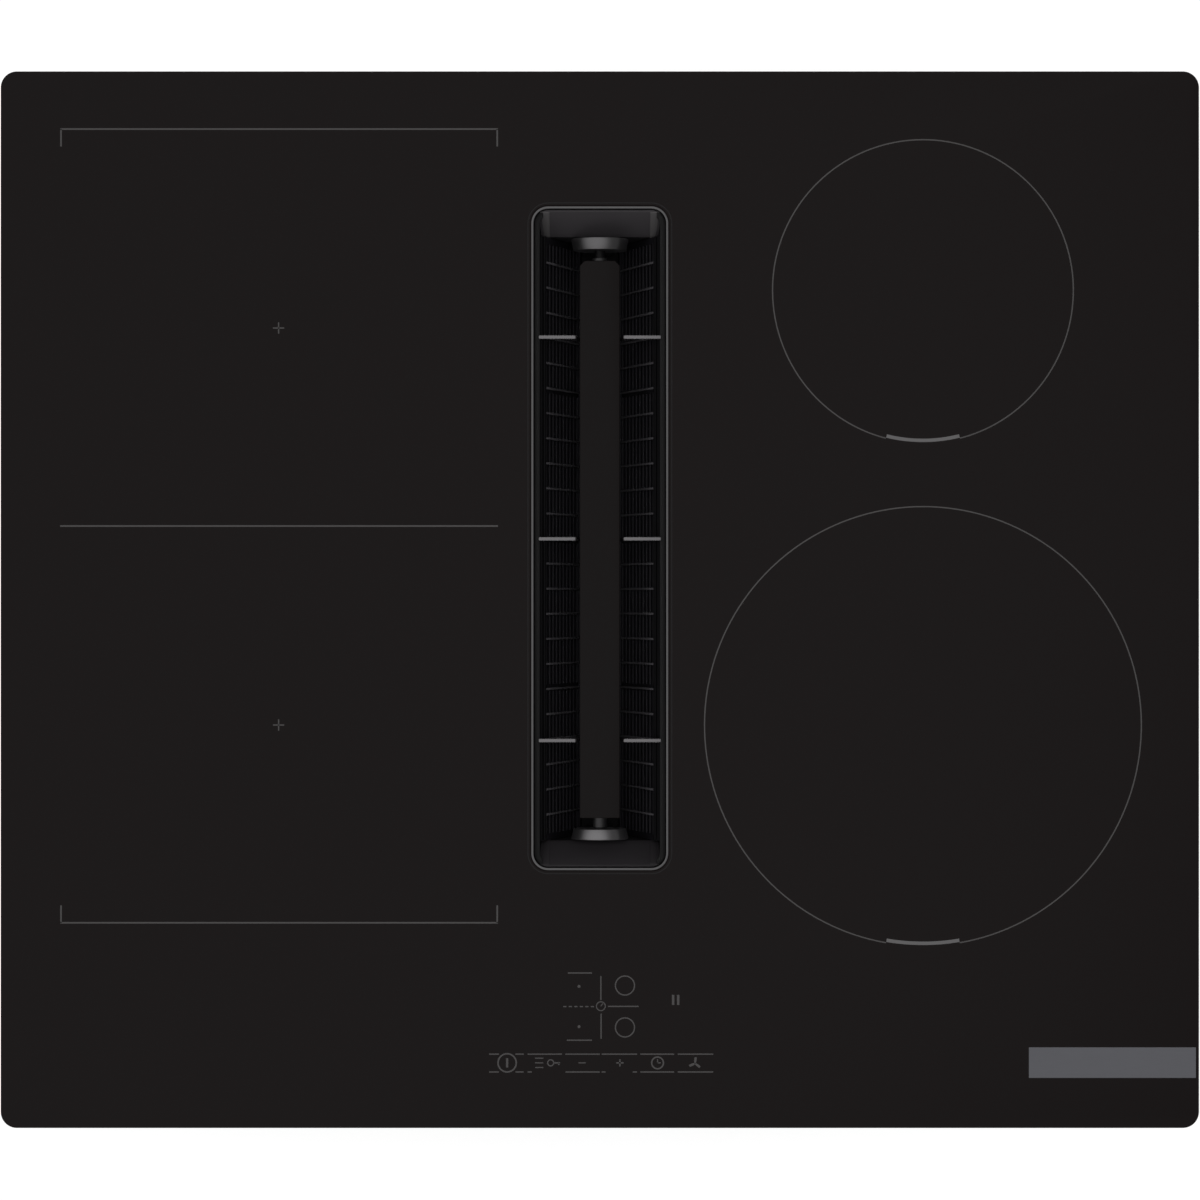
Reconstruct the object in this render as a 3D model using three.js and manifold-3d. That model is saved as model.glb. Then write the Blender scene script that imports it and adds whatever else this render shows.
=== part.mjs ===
// A downdraft induction cooktop: a glass plate with four induction zones, and in its middle a vent
// slot whose lift-out filter leads down to a plenum, a centrifugal blower and a flat duct outlet.
// Millimetres, +Z up, +X to the right and +Y to the rear, with the origin under the middle.

import * as THREE from "three";
import { mergeVertices } from "three/addons/utils/BufferGeometryUtils.js";
import Module from "manifold-3d";

const wasm = await Module();
wasm.setup();

// ---- Driving sizes ---------------------------------------------------------------------------

const FIT = 0.3; // air left between two pieces that touch
const PAST = 1; // how far a cutting tool runs past what it cuts, and a joined part into its neighbour

// Glass plate and what it lies on
const OVERALL_HEIGHT = 223;
const GLASS_WIDTH = 592;
const GLASS_DEPTH = 522;
const GLASS_THICKNESS = 4;
const GLASS_CORNER = 8;
const SEAL_THICKNESS = 1.7;
const SEAL_WIDTH = 11;
const SEAL_INSET = 2;
const RING_THICKNESS = 1.5; // steel ring glued under the glass
const RING_WIDTH = 20;

// Sheet-steel case of the hob, which hangs in the worktop cut-out
const GLASS_OVERHANG = 20; // of the glass past the case, all round
const CASE_HEIGHT = 56.9;
const CASE_WALL = 1.2;
const CASE_CORNER = 6;
const SLOT_WIDTH = 4; // cooling slots in the case floor
const SLOT_LENGTH = 44;
const SLOT_PITCH = 11;
const SLOTS_PER_FAN = 3;
const WALL_SLOT_MARGIN = 12; // from the case's floor and rim to its rear slots

// Vent opening in the glass, with its metal trim
const VENT_WIDTH = 67.8;
const VENT_LENGTH = 328.1;
const VENT_CENTRE_Y = 30.35;
const VENT_CORNER = 8.4;
const VENT_BEVEL = 1.2;
const VENT_BEVEL_DEPTH = 1;
const TRIM_LINE = 1.2;
const LEDGE_WIDTH = 3.5;
const LEDGE_THICKNESS = 1.5;
const SHAFT_WALL = 1.5;
const LEAST_CORNER = 1; // radius left where an inset outline would have none

// Filter cassette
const FLANGE_DROP = 3.5; // from the glass surface to the top of the cassette's flange
const FLANGE_THICKNESS = 2;
const FLANGE_WIDTH = 2.8;
const CASSETTE_WALL = 1.6;
const V_DEPTH = 68; // height of the sloping filter walls
const V_RUN = 18.6; // how far each leans in over that height
const APRON_DROP = 13; // sloping part of the end walls
const APRON_RUN = 8.4;
const GUTTER_THICKNESS = 3;
const GUTTER_LIP = 3;
const SLAT_PITCH = 6.3;
const SLAT_WIDTH = 2.2;
const SLAT_BAYS = 4;
const PANEL_BORDER = 3.2;
const RUNG_PITCH = 12.45;
const RUNG_WIDTH = 1.5;
const RUNG_COUNT = 23;
const LADDER_THICKNESS = 1.2;
const LADDER_RAIL = 2.4;

// Grip bar of the cassette, its two brackets and the cross ribs
const BAR_WIDTH = 19.7;
const BAR_HALF_LENGTH = 138.3;
const BAR_HEIGHT = 20;
const BAR_DROP = 1; // below the glass surface
const BAR_CHAMFER = 2.4;
const BOSS_RADIUS = 14.2;
const BOSS_TIP_RADIUS = 13.2;
const BOSS_THICKNESS = 5.5;
const BOSS_GAP = 5.2; // between bar and boss, bridged by the neck
const NECK_RADIUS = 3.7;
const NECK_GRIP = 8; // how deep the neck sits in the bar
const NECK_DROP = 16; // from the glass surface to the neck's axis
const POST_WIDTH = 14;
const POST_THICKNESS = 3.5;
const CROSS_RIB_PITCH = 99.6;
const CROSS_RIB_THICKNESS = 2;
const CROSS_RIB_DROP = 1.7;
const CROSS_RIB_HEIGHT = 4.3;
const CROSS_RIB_LEG = 3;
const CROSS_RIB_GAP = 1.6; // between the bar's side and each leg
const CROSS_RIB_REACH = 30.1;
const CROSS_RIB_ROUND = 2.6;

// Condensate tray under the cassette
const TRAY_WIDTH = 48;
const TRAY_HEIGHT = 22;
const TRAY_WALL = 1.6;
const TRAY_FLOOR_Z = 116;
const TRAY_CORNER = 6;
const TRAY_TAB_WIDTH = 22;
const TRAY_TAB_LAP = 6; // overlap of the tabs with the cassette's end walls

// Blower
const FAN_X = 50;
const FAN_Y = 20;
const IMPELLER_RADIUS = 95;
const IMPELLER_HEIGHT = 74;
const IMPELLER_LIFT = 5.5; // above the scroll's inner floor
const BLADE_COUNT = 30;
const BLADE_DEPTH = 21;
const BLADE_CAMBER = 4.6; // of the blade's middle off its chord
const BLADE_THICKNESS = 1.4;
const BLADE_LEAN = 32; // degrees between a blade's chord and the radius
const DISC_THICKNESS = 2.5;
const SHROUD_WIDTH = 15;
const SCROLL_CLEARANCE = 10;
const SCROLL_GROWTH = 60; // from the tongue to the widest radius
const SCROLL_TONGUE = 120; // degrees, counted from +X
const SCROLL_WALL = 2.5;
const DUCT_WIDTH = 222; // flat duct system
const DUCT_HEIGHT = 89;
const DUCT_CORNER = 6;
const DUCT_PLAY = 1; // height left over the duct inside the scroll
const OUTLET_Y = 232;
const SPIGOT_LENGTH = 20;
const SPIGOT_WALL = 2;
const SPIGOT_FLANGE = 6;
const SPIGOT_FLANGE_THICKNESS = 3;
const INLET_RADIUS = 62;
const INLET_FLARE = 8;
const INLET_WALL = 2;
const INLET_DIP = 7; // of the inlet's throat into the scroll
const MOTOR_RADIUS = 30;
const MOTOR_HEIGHT = 44;
const MOTOR_WAIST = 18;
const MOTOR_WAIST_HEIGHT = 6;
const MOTOR_CHAMFER = 2;
const MOTOR_FLANGE_RADIUS = 46;
const MOTOR_FLANGE_THICKNESS = 3;
const ROTOR_GAP = 1.5;
const ROTOR_WALL = 3;
const ROTOR_FLANGE = 8;

// Plenum between the hob's case and the scroll
const PLENUM_RIGHT = 220;
const PLENUM_FRONT = -142;
const PLENUM_REAR = 206;
const PLENUM_WALL = 2;
const PLENUM_CORNER = 18;
const PLENUM_FLOOR_THICKNESS = 2.2;
const PLENUM_ROOF_THICKNESS = 2;
const ROOF_LIP_SIDE = 0.55; // how far the roof's opening stands inside the shaft, so that drips fall clear
const ROOF_LIP_END = 0.3;

// Overflow container under the plenum's left side
const CONTAINER_X = -134;
const CONTAINER_Y = -20;
const CONTAINER_WIDTH = 100;
const CONTAINER_DEPTH = 180;
const CONTAINER_HEIGHT = 58;
const CONTAINER_WALL = 2;
const CONTAINER_CORNER = 12;
const LID_THICKNESS = 3;
const LID_SKIRT = 12;
const LID_WALL = 1.5;
const DRAIN_RADIUS = 8;
const DRAIN_WALL = 2;
const DRAIN_LENGTH = 9;

// Induction zones: the windings' half sizes, and their places from the case's side and rear
const ZONE_SIDE_GAP = 21.8;
const ZONE_REAR_GAP = 18.6;
const ZONE_PITCH_LEFT = 196.2; // front to rear
const ZONE_PITCH_RIGHT = 214.9;
const COIL_LEFT_RADIUS_X = 95;
const COIL_LEFT_RADIUS_Y = 88;
const COIL_FRONT_RADIUS = 95;
const COIL_REAR_RADIUS = 64;
const COIL_EYE_RADIUS = 20;
const COIL_THICKNESS = 5;
const COIL_TOP_DROP = 4.6; // from the glass underside to the winding
const CARRIER_THICKNESS = 6;
const CARRIER_ARM = 13;
const CARRIER_ARMS = 3; // bars right across, so six arms
const CARRIER_RIM = 5;
const SENSOR_RADIUS = 6;
const SENSOR_HEAD_RADIUS = 10;
const PLATE_THICKNESS = 1.5;
const PLATE_INNER_X = 40;
const PLATE_SIDE_GAP = 8; // from the case's side
const PLATE_FRONT_GAP = 71;
const PLATE_LEG = 12;

// Electronics on the case floor
const PART_GAP = 7; // from the case's front and rear
const COOLER_GAP = 5; // from each cooling fan to its board
const BOARD_THICKNESS = 1.6;
const BOARD_STANDOFF = 3;
const BOARD_WIDTH = 176;
const BOARD_DEPTH = 250;
const STANDOFF_RADIUS = 3;
const SINK_WIDTH = 70;
const SINK_DEPTH = 150;
const SINK_HEIGHT = 26;
const SINK_BASE = 4;
const SINK_FINS = 9;
const SINK_FIN = 1.8;
const SINK_INSET = 8; // from the board's front edge
const CAPACITOR_WIDTH = 32;
const CAPACITOR_DEPTH = 18;
const CAPACITOR_HEIGHT = 25;
const CAPACITOR_GAP = 8;
const CHOKE_RADIUS = 16;
const CHOKE_BORE = 7;
const CHOKE_HEIGHT = 14;
const COOLER_SIZE = 76;
const COOLER_HEIGHT = 16;
const COOLER_CORNER = 5;
const COOLER_RIM = 2.2;
const COOLER_HUB_RADIUS = 14;
const COOLER_STRUT = 4;
const COOLER_STRUT_THICKNESS = 2;
const COOLER_BLADES = 5;
const COOLER_BLADE_PITCH = 34;
const COOLER_BLADE_WIDTH = 16;
const COOLER_BLADE_THICKNESS = 1.4;
const COOLER_TIP_GAP = 1.2;
const CONTROL_WIDTH = 122;
const CONTROL_DEPTH = 58;
const CONTROL_X = 1;
const CONTROL_DROP = 3.9; // from the glass underside to the board
const HOLDER_THICKNESS = 2;
const HOLDER_LEG = 8;

// Mains connection and the spring clips in the cut-out
const TERMINAL_WIDTH = 58;
const TERMINAL_DEPTH = 84;
const TERMINAL_HEIGHT = 30;
const TERMINAL_WALL = 2;
const TERMINAL_CORNER = 5;
const TERMINAL_SIDE_GAP = 14; // from the case's side, and from the box to the plenum
const TERMINAL_Y = 150;
const GLAND_RADIUS = 11;
const GLAND_BORE = 6;
const GLAND_LENGTH = 16;
const GLAND_NUT_LENGTH = 8;
const GLAND_TAPER = 2;
const CLIP_WIDTH = 24;
const CLIP_HEIGHT = 34;
const CLIP_THICKNESS = 0.8;
const CLIP_BULGE = 3.2;
const CLIP_DROP = 6; // from the case's rim
const CLIP_Y = 150;

// ---- Levels and outlines worked out from them ---------------------------------------------------

const GLASS_BOTTOM = OVERALL_HEIGHT - GLASS_THICKNESS;
const RING_BOTTOM = GLASS_BOTTOM - FIT - RING_THICKNESS;
const CASE_TOP = RING_BOTTOM - FIT;
const CASE_BOTTOM = CASE_TOP - CASE_HEIGHT;
const CASE_FLOOR = CASE_BOTTOM + CASE_WALL;
const CASE_WIDTH = GLASS_WIDTH - 2 * GLASS_OVERHANG;
const CASE_DEPTH = GLASS_DEPTH - 2 * GLASS_OVERHANG;

const FLANGE_TOP = OVERALL_HEIGHT - FLANGE_DROP;
const FLANGE_BOTTOM = FLANGE_TOP - FLANGE_THICKNESS;
const LEDGE_TOP = FLANGE_BOTTOM - FIT;
const LEDGE_BOTTOM = LEDGE_TOP - LEDGE_THICKNESS;
const SHAFT_TOP = LEDGE_BOTTOM - FIT;
const CASSETTE_HALF_WIDTH = VENT_WIDTH / 2 - LEDGE_WIDTH - FIT;
const CASSETTE_HALF_LENGTH = VENT_LENGTH / 2 - LEDGE_WIDTH - FIT;
const V_BOTTOM = FLANGE_BOTTOM - V_DEPTH;
const V_SLOPE = V_RUN / V_DEPTH;
const V_ANGLE = Math.atan(V_SLOPE);
const V_LENGTH = Math.hypot(V_RUN, V_DEPTH);
const END_HALF_LENGTH = CASSETTE_HALF_LENGTH - CASSETTE_WALL - APRON_RUN; // inner face, lower part
const PANEL_HALF_LENGTH = END_HALF_LENGTH - FIT;

const SCROLL_TOP = SCROLL_WALL + DUCT_HEIGHT + DUCT_PLAY;
const PLENUM_FLOOR_BOTTOM = SCROLL_TOP + FIT;
const PLENUM_FLOOR_TOP = PLENUM_FLOOR_BOTTOM + PLENUM_FLOOR_THICKNESS;
const PLENUM_TOP = CASE_BOTTOM - FIT;
const TERMINAL_X = TERMINAL_SIDE_GAP + TERMINAL_WIDTH / 2 - CASE_WIDTH / 2;
const PLENUM_LEFT = TERMINAL_X + TERMINAL_WIDTH / 2 + TERMINAL_SIDE_GAP;
const SCROLL_START_RADIUS = IMPELLER_RADIUS + SCROLL_CLEARANCE;
const SCROLL_END_RADIUS = SCROLL_START_RADIUS + SCROLL_GROWTH;

const COIL_TOP = GLASS_BOTTOM - COIL_TOP_DROP;
const CARRIER_TOP = COIL_TOP - COIL_THICKNESS - FIT;
const PLATE_TOP = CARRIER_TOP - CARRIER_THICKNESS - FIT;
const BOARD_BOTTOM = CASE_FLOOR + BOARD_STANDOFF;
const BOARD_TOP = BOARD_BOTTOM + BOARD_THICKNESS;

const ZONE_X = CASE_WIDTH / 2 - ZONE_SIDE_GAP - COIL_FRONT_RADIUS;
const ZONE_REAR_LEFT_Y = CASE_DEPTH / 2 - ZONE_REAR_GAP - COIL_LEFT_RADIUS_Y;
const ZONE_FRONT_Y = ZONE_REAR_LEFT_Y - ZONE_PITCH_LEFT;
const ZONE_REAR_RIGHT_Y = ZONE_FRONT_Y + ZONE_PITCH_RIGHT;
const PLATE_OUTER_X = CASE_WIDTH / 2 - PLATE_SIDE_GAP;
const PLATE_REAR_Y = CASE_DEPTH / 2 - PART_GAP;
const PLATE_FRONT_Y = PLATE_FRONT_GAP - CASE_DEPTH / 2;
const COOLER_Y = PART_GAP + COOLER_SIZE / 2 - CASE_DEPTH / 2;
const BOARD_X = (PLATE_INNER_X + PLATE_OUTER_X) / 2;
const BOARD_Y = COOLER_Y + COOLER_SIZE / 2 + COOLER_GAP + BOARD_DEPTH / 2;
const CONTROL_Y = PART_GAP + CONTROL_DEPTH / 2 - CASE_DEPTH / 2;

// ---- How finely the curves are cut ------------------------------------------------------------------

const CORNER_STEPS = 3; // facets in a rounded corner
const VENT_STEPS = 4;
const GLASS_STEPS = 6;
const SMALL_ROUND = 10; // facets in a full turn
const HOLE_ROUND = 12;
const COIL_ROUND = 20;
const BORE_ROUND = 24;
const WHEEL_ROUND = 30;

// ---- Finishes -------------------------------------------------------------------------------------

const FINISHES = {
  glass: { color: 0x1d1b1b, roughness: 0.08, metalness: 0 },
  seal: { color: 0x1a1a1a, roughness: 0.9, metalness: 0 },
  steel: { color: 0xa9abad, roughness: 0.42, metalness: 1 },
  trim: { color: 0x8d8f92, roughness: 0.3, metalness: 1 },
  aluminium: { color: 0xb9bcbf, roughness: 0.38, metalness: 1 },
  copper: { color: 0xa7633a, roughness: 0.45, metalness: 0.9 },
  plastic: { color: 0x232323, roughness: 0.55, metalness: 0 },
  housing: { color: 0x3a3c3f, roughness: 0.6, metalness: 0 },
  board: { color: 0x1f5a38, roughness: 0.5, metalness: 0 },
  sensor: { color: 0xd8d4c8, roughness: 0.6, metalness: 0 },
};

// ---- Making and joining solids --------------------------------------------------------------------

function solidOf(geometry) {
  const bare = geometry.index ? geometry.toNonIndexed() : geometry.clone();
  bare.deleteAttribute("normal");
  bare.deleteAttribute("uv");
  const merged = mergeVertices(bare);
  const index = merged.index.array;
  const triangles = [];
  for (let i = 0; i < index.length; i += 3) {
    const [a, b, c] = index.slice(i, i + 3);
    if (a !== b && b !== c && c !== a) triangles.push(a, b, c);
  }
  return new wasm.Manifold(
    new wasm.Mesh({
      numProp: 3,
      vertProperties: merged.attributes.position.array,
      triVerts: new Uint32Array(triangles),
    }),
  );
}

function geometryOf(solid) {
  const mesh = solid.getMesh();
  const geometry = new THREE.BufferGeometry();
  geometry.setAttribute("position", new THREE.BufferAttribute(mesh.vertProperties, 3));
  geometry.setIndex(new THREE.BufferAttribute(mesh.triVerts, 1));
  return geometry;
}

function join(...geometries) {
  return geometryOf(geometries.map(solidOf).reduce((sum, next) => sum.add(next)));
}

function cut(geometry, ...tools) {
  return geometryOf(tools.map(solidOf).reduce((rest, tool) => rest.subtract(tool), solidOf(geometry)));
}

function common(geometry, other) {
  return geometryOf(solidOf(geometry).intersect(solidOf(other)));
}

function polygon(points) {
  return new THREE.Shape(points.map(([x, y]) => new THREE.Vector2(x, y)));
}

function roundedRect(width, depth, radius) {
  const x = width / 2 - radius;
  const y = depth / 2 - radius;
  const quarter = Math.PI / 2;
  const shape = new THREE.Shape();
  shape.absarc(x, y, radius, 0, quarter);
  shape.absarc(-x, y, radius, quarter, 2 * quarter);
  shape.absarc(-x, -y, radius, 2 * quarter, 3 * quarter);
  shape.absarc(x, -y, radius, 3 * quarter, 4 * quarter);
  return shape;
}

function slab(shape, bottom, top, curveSegments = CORNER_STEPS) {
  const options = { depth: top - bottom, bevelEnabled: false, curveSegments };
  return new THREE.ExtrudeGeometry(shape, options).translate(0, 0, bottom);
}

// An outline drawn in x and z, drawn out along Y.
function alongY(shape, from, to, curveSegments = CORNER_STEPS) {
  return slab(shape, 0, to - from, curveSegments)
    .rotateX(Math.PI / 2)
    .translate(0, to, 0);
}

// An outline drawn in y and z, drawn out along X.
function alongX(shape, from, to, curveSegments = CORNER_STEPS) {
  const turn = new THREE.Matrix4().makeBasis(
    new THREE.Vector3(0, 1, 0),
    new THREE.Vector3(0, 0, 1),
    new THREE.Vector3(1, 0, 0),
  );
  return slab(shape, from, to, curveSegments).applyMatrix4(turn);
}

function box(width, depth, bottom, top, x = 0, y = 0) {
  return new THREE.BoxGeometry(width, depth, top - bottom).translate(x, y, (bottom + top) / 2);
}

// A body of revolution round Z, from a closed profile of [radius, height] points.
function turned(profile, segments) {
  const points = [...profile, profile[0]].map(([r, z]) => new THREE.Vector2(r, z));
  return new THREE.LatheGeometry(points, segments).rotateX(Math.PI / 2);
}

function cylinder(radius, bottom, top, segments) {
  return new THREE.CylinderGeometry(radius, radius, top - bottom, segments)
    .rotateX(Math.PI / 2)
    .translate(0, 0, (bottom + top) / 2);
}

function tube(outer, bore, bottom, top, segments) {
  return turned(
    [
      [bore, bottom],
      [outer, bottom],
      [outer, top],
      [bore, top],
    ],
    segments,
  );
}

// A rounded box that is open at the top.
function tub(width, depth, corner, bottom, top, wall) {
  return cut(
    slab(roundedRect(width, depth, corner), bottom, top),
    slab(roundedRect(width - 2 * wall, depth - 2 * wall, corner - wall), bottom + wall, top + wall),
  );
}

function piece(name, geometry, finish, place = [0, 0, 0]) {
  const material = new THREE.MeshStandardMaterial({ ...FINISHES[finish], flatShading: true });
  const mesh = new THREE.Mesh(geometry, material);
  mesh.name = name;
  mesh.position.set(...place);
  return mesh;
}

function group(...children) {
  const made = new THREE.Group();
  made.add(...children);
  return made;
}

// ---- Glass, seal and case -------------------------------------------------------------------------

function ventOutline(inset) {
  const corner = Math.max(VENT_CORNER - inset, LEAST_CORNER);
  return roundedRect(VENT_WIDTH - 2 * inset, VENT_LENGTH - 2 * inset, corner);
}

function ventBlock(inset, bottom, top) {
  return slab(ventOutline(inset), bottom, top, VENT_STEPS);
}

function ventTool(inset, bottom, top) {
  return ventBlock(inset, bottom, top).translate(0, VENT_CENTRE_Y, 0);
}

function glassPanel() {
  const bevel = new THREE.ExtrudeGeometry(ventOutline(-FIT), {
    depth: VENT_BEVEL_DEPTH,
    bevelEnabled: true,
    bevelSegments: 1,
    bevelSize: VENT_BEVEL,
    bevelThickness: VENT_BEVEL_DEPTH,
    curveSegments: VENT_STEPS,
  }).translate(0, VENT_CENTRE_Y, OVERALL_HEIGHT);
  return cut(
    slab(roundedRect(GLASS_WIDTH, GLASS_DEPTH, GLASS_CORNER), GLASS_BOTTOM, OVERALL_HEIGHT, GLASS_STEPS),
    ventTool(-FIT, GLASS_BOTTOM - PAST, OVERALL_HEIGHT + PAST),
    bevel,
  );
}

function flatRing(width, depth, corner, ring, bottom, top) {
  const inner = Math.max(corner - ring, LEAST_CORNER);
  return cut(
    slab(roundedRect(width, depth, corner), bottom, top),
    slab(roundedRect(width - 2 * ring, depth - 2 * ring, inner), bottom - PAST, top + PAST),
  );
}

function edgeSeal() {
  const top = GLASS_BOTTOM - FIT;
  const width = GLASS_WIDTH - 2 * SEAL_INSET;
  const depth = GLASS_DEPTH - 2 * SEAL_INSET;
  return flatRing(width, depth, GLASS_CORNER, SEAL_WIDTH, top - SEAL_THICKNESS, top);
}

function supportRing() {
  const top = GLASS_BOTTOM - FIT;
  return flatRing(CASE_WIDTH, CASE_DEPTH, CASE_CORNER, RING_WIDTH, top - RING_THICKNESS, top);
}

function coolingSlots(side) {
  const slots = [];
  for (let i = 0; i < SLOTS_PER_FAN; i += 1) {
    const x = side * BOARD_X + (i - (SLOTS_PER_FAN - 1) / 2) * SLOT_PITCH;
    slots.push(box(SLOT_WIDTH, SLOT_LENGTH, CASE_BOTTOM - PAST, CASE_FLOOR + PAST, x, COOLER_Y));
    const low = CASE_FLOOR + WALL_SLOT_MARGIN;
    const high = CASE_TOP - WALL_SLOT_MARGIN;
    slots.push(box(SLOT_WIDTH, 2 * (CASE_WALL + PAST), low, high, x, CASE_DEPTH / 2));
  }
  return slots;
}

function standoffs(side) {
  const posts = [];
  for (const dx of [-1, 1]) {
    for (const dy of [-1, 1]) {
      const x = side * BOARD_X + dx * (BOARD_WIDTH / 2 - 2 * STANDOFF_RADIUS);
      const y = BOARD_Y + dy * (BOARD_DEPTH / 2 - 2 * STANDOFF_RADIUS);
      const post = cylinder(STANDOFF_RADIUS, CASE_BOTTOM + CASE_WALL / 2, BOARD_BOTTOM - FIT, 6);
      posts.push(post.translate(x, y, 0));
    }
  }
  return posts;
}

function casePan() {
  const pan = tub(CASE_WIDTH, CASE_DEPTH, CASE_CORNER, CASE_BOTTOM, CASE_TOP, CASE_WALL);
  const cableHole = cylinder(GLAND_BORE, CASE_BOTTOM - PAST, CASE_FLOOR + PAST, HOLE_ROUND);
  const openings = [
    ventTool(-FIT, CASE_BOTTOM - PAST, CASE_FLOOR + PAST),
    cableHole.translate(TERMINAL_X, TERMINAL_Y, 0),
    ...coolingSlots(-1),
    ...coolingSlots(1),
  ];
  return join(cut(pan, ...openings), ...standoffs(-1), ...standoffs(1));
}

function clip(side) {
  const wall = CASE_WIDTH / 2 + FIT;
  const top = CASE_TOP - CLIP_DROP;
  const bottom = top - CLIP_HEIGHT;
  const middle = (top + bottom) / 2;
  const outer = wall + CLIP_BULGE;
  const inner = wall + CLIP_THICKNESS;
  const leaf = polygon([
    [wall, top],
    [wall, bottom],
    [inner, bottom],
    [outer, middle - CLIP_THICKNESS],
    [outer, middle + CLIP_THICKNESS],
    [wall + 2 * CLIP_THICKNESS, middle + CLIP_HEIGHT / 3],
    [wall + CLIP_THICKNESS, middle + CLIP_HEIGHT / 3],
    [outer - CLIP_THICKNESS, middle],
    [inner, bottom + 2 * CLIP_THICKNESS],
    [inner, top],
  ]);
  const spring = alongY(leaf, -CLIP_WIDTH / 2, CLIP_WIDTH / 2);
  return side > 0 ? spring : spring.rotateZ(Math.PI);
}

function hobBody() {
  const clips = [];
  for (const [side, sideName] of [
    [-1, "left"],
    [1, "right"],
  ]) {
    for (const [end, endName] of [
      [-1, "front"],
      [1, "rear"],
    ]) {
      clips.push(piece(`worktop_clip_${endName}_${sideName}`, clip(side), "steel", [0, end * CLIP_Y, 0]));
    }
  }
  return group(
    piece("glass_panel", glassPanel(), "glass"),
    piece("edge_seal", edgeSeal(), "seal"),
    piece("glass_support_ring", supportRing(), "steel"),
    piece("hob_case", casePan(), "steel"),
    ...clips,
  );
}

// ---- Vent trim and shaft --------------------------------------------------------------------------

function ventTrim() {
  const lip = cut(
    ventBlock(0, LEDGE_BOTTOM, OVERALL_HEIGHT),
    ventBlock(TRIM_LINE, LEDGE_TOP, OVERALL_HEIGHT + PAST),
  );
  return cut(lip, ventBlock(LEDGE_WIDTH, LEDGE_BOTTOM - PAST, LEDGE_TOP + PAST));
}

function ventShaft() {
  const bottom = PLENUM_TOP + FIT;
  return cut(
    slab(ventOutline(0), bottom, SHAFT_TOP),
    slab(ventOutline(SHAFT_WALL), bottom - PAST, SHAFT_TOP + PAST),
  );
}

// ---- Filter cassette ------------------------------------------------------------------------------

// Half width of the cassette's outer face at a height.
function cassetteHalfWidth(z) {
  return CASSETTE_HALF_WIDTH - (FLANGE_BOTTOM - z) * V_SLOPE;
}

function endWall() {
  const outer = CASSETTE_HALF_LENGTH;
  const bend = FLANGE_BOTTOM - APRON_DROP;
  const bottom = V_BOTTOM - GUTTER_THICKNESS;
  const profile = polygon([
    [outer - CASSETTE_WALL, FLANGE_TOP - FIT],
    [outer - CASSETTE_WALL - APRON_RUN, bend],
    [outer - CASSETTE_WALL - APRON_RUN, bottom],
    [outer - APRON_RUN, bottom],
    [outer - APRON_RUN, bend],
    [outer, FLANGE_BOTTOM],
    [outer, FLANGE_TOP - FIT],
  ]);
  const reach = CASSETTE_HALF_WIDTH;
  const foot = cassetteHalfWidth(bottom);
  const wedge = polygon([
    [-reach, FLANGE_TOP],
    [-reach, FLANGE_BOTTOM],
    [-foot, bottom - PAST],
    [foot, bottom - PAST],
    [reach, FLANGE_BOTTOM],
    [reach, FLANGE_TOP],
  ]);
  const plate = common(alongX(profile, -reach, reach), alongY(wedge, 0, 2 * outer));
  return common(plate, slab(ventOutline(LEDGE_WIDTH + FIT), bottom - PAST, FLANGE_TOP));
}

function gutter() {
  const wallOut = cassetteHalfWidth(V_BOTTOM);
  const wallIn = wallOut - CASSETTE_WALL / Math.cos(V_ANGLE);
  const ridge = wallIn - FIT;
  const lip = cassetteHalfWidth(V_BOTTOM + GUTTER_LIP) + FIT;
  const base = V_BOTTOM - GUTTER_THICKNESS;
  const seat = V_BOTTOM - FIT;
  const top = V_BOTTOM + GUTTER_LIP;
  const half = [
    [ridge, top],
    [ridge, seat],
    [lip, seat],
    [lip, top],
    [lip + CASSETTE_WALL, top],
    [lip + CASSETTE_WALL, base],
  ];
  const mirrored = half.map(([x, z]) => [-x, z]).reverse();
  const length = END_HALF_LENGTH + CASSETTE_WALL / 2;
  return alongY(polygon([...half, ...mirrored].reverse()), -length, length);
}

function filterFrame() {
  const outset = TRIM_LINE + FIT;
  const flange = cut(
    ventBlock(outset, FLANGE_BOTTOM, FLANGE_TOP),
    ventBlock(outset + FLANGE_WIDTH, FLANGE_BOTTOM - PAST, FLANGE_TOP + PAST),
  );
  return join(flange, endWall(), endWall().rotateZ(Math.PI), gutter());
}

// A flat grille of rectangular openings, with its length along X and its height along Y.
function grille(halfLength, height, openings, thickness) {
  const sheet = box(2 * halfLength, height, 0, thickness, 0, height / 2);
  const tools = openings.map(([left, right, low, high]) =>
    box(right - left, high - low, -PAST, thickness + PAST, (left + right) / 2, (low + high) / 2),
  );
  return cut(sheet, ...tools);
}

function slatPanel() {
  const height = V_LENGTH - 2 * FIT;
  const slats = Math.floor((height - 2 * PANEL_BORDER + SLAT_WIDTH) / SLAT_PITCH);
  const bay = (2 * PANEL_HALF_LENGTH - PANEL_BORDER) / SLAT_BAYS;
  const start = (height - (slats * SLAT_PITCH - SLAT_WIDTH)) / 2;
  const openings = [];
  for (let column = 0; column < SLAT_BAYS; column += 1) {
    const left = -PANEL_HALF_LENGTH + PANEL_BORDER + column * bay;
    for (let row = 0; row < slats; row += 1) {
      const low = start + row * SLAT_PITCH;
      openings.push([left, left + bay - PANEL_BORDER, low, low + SLAT_PITCH - SLAT_WIDTH]);
    }
  }
  return grille(PANEL_HALF_LENGTH, height, openings, CASSETTE_WALL);
}

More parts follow.
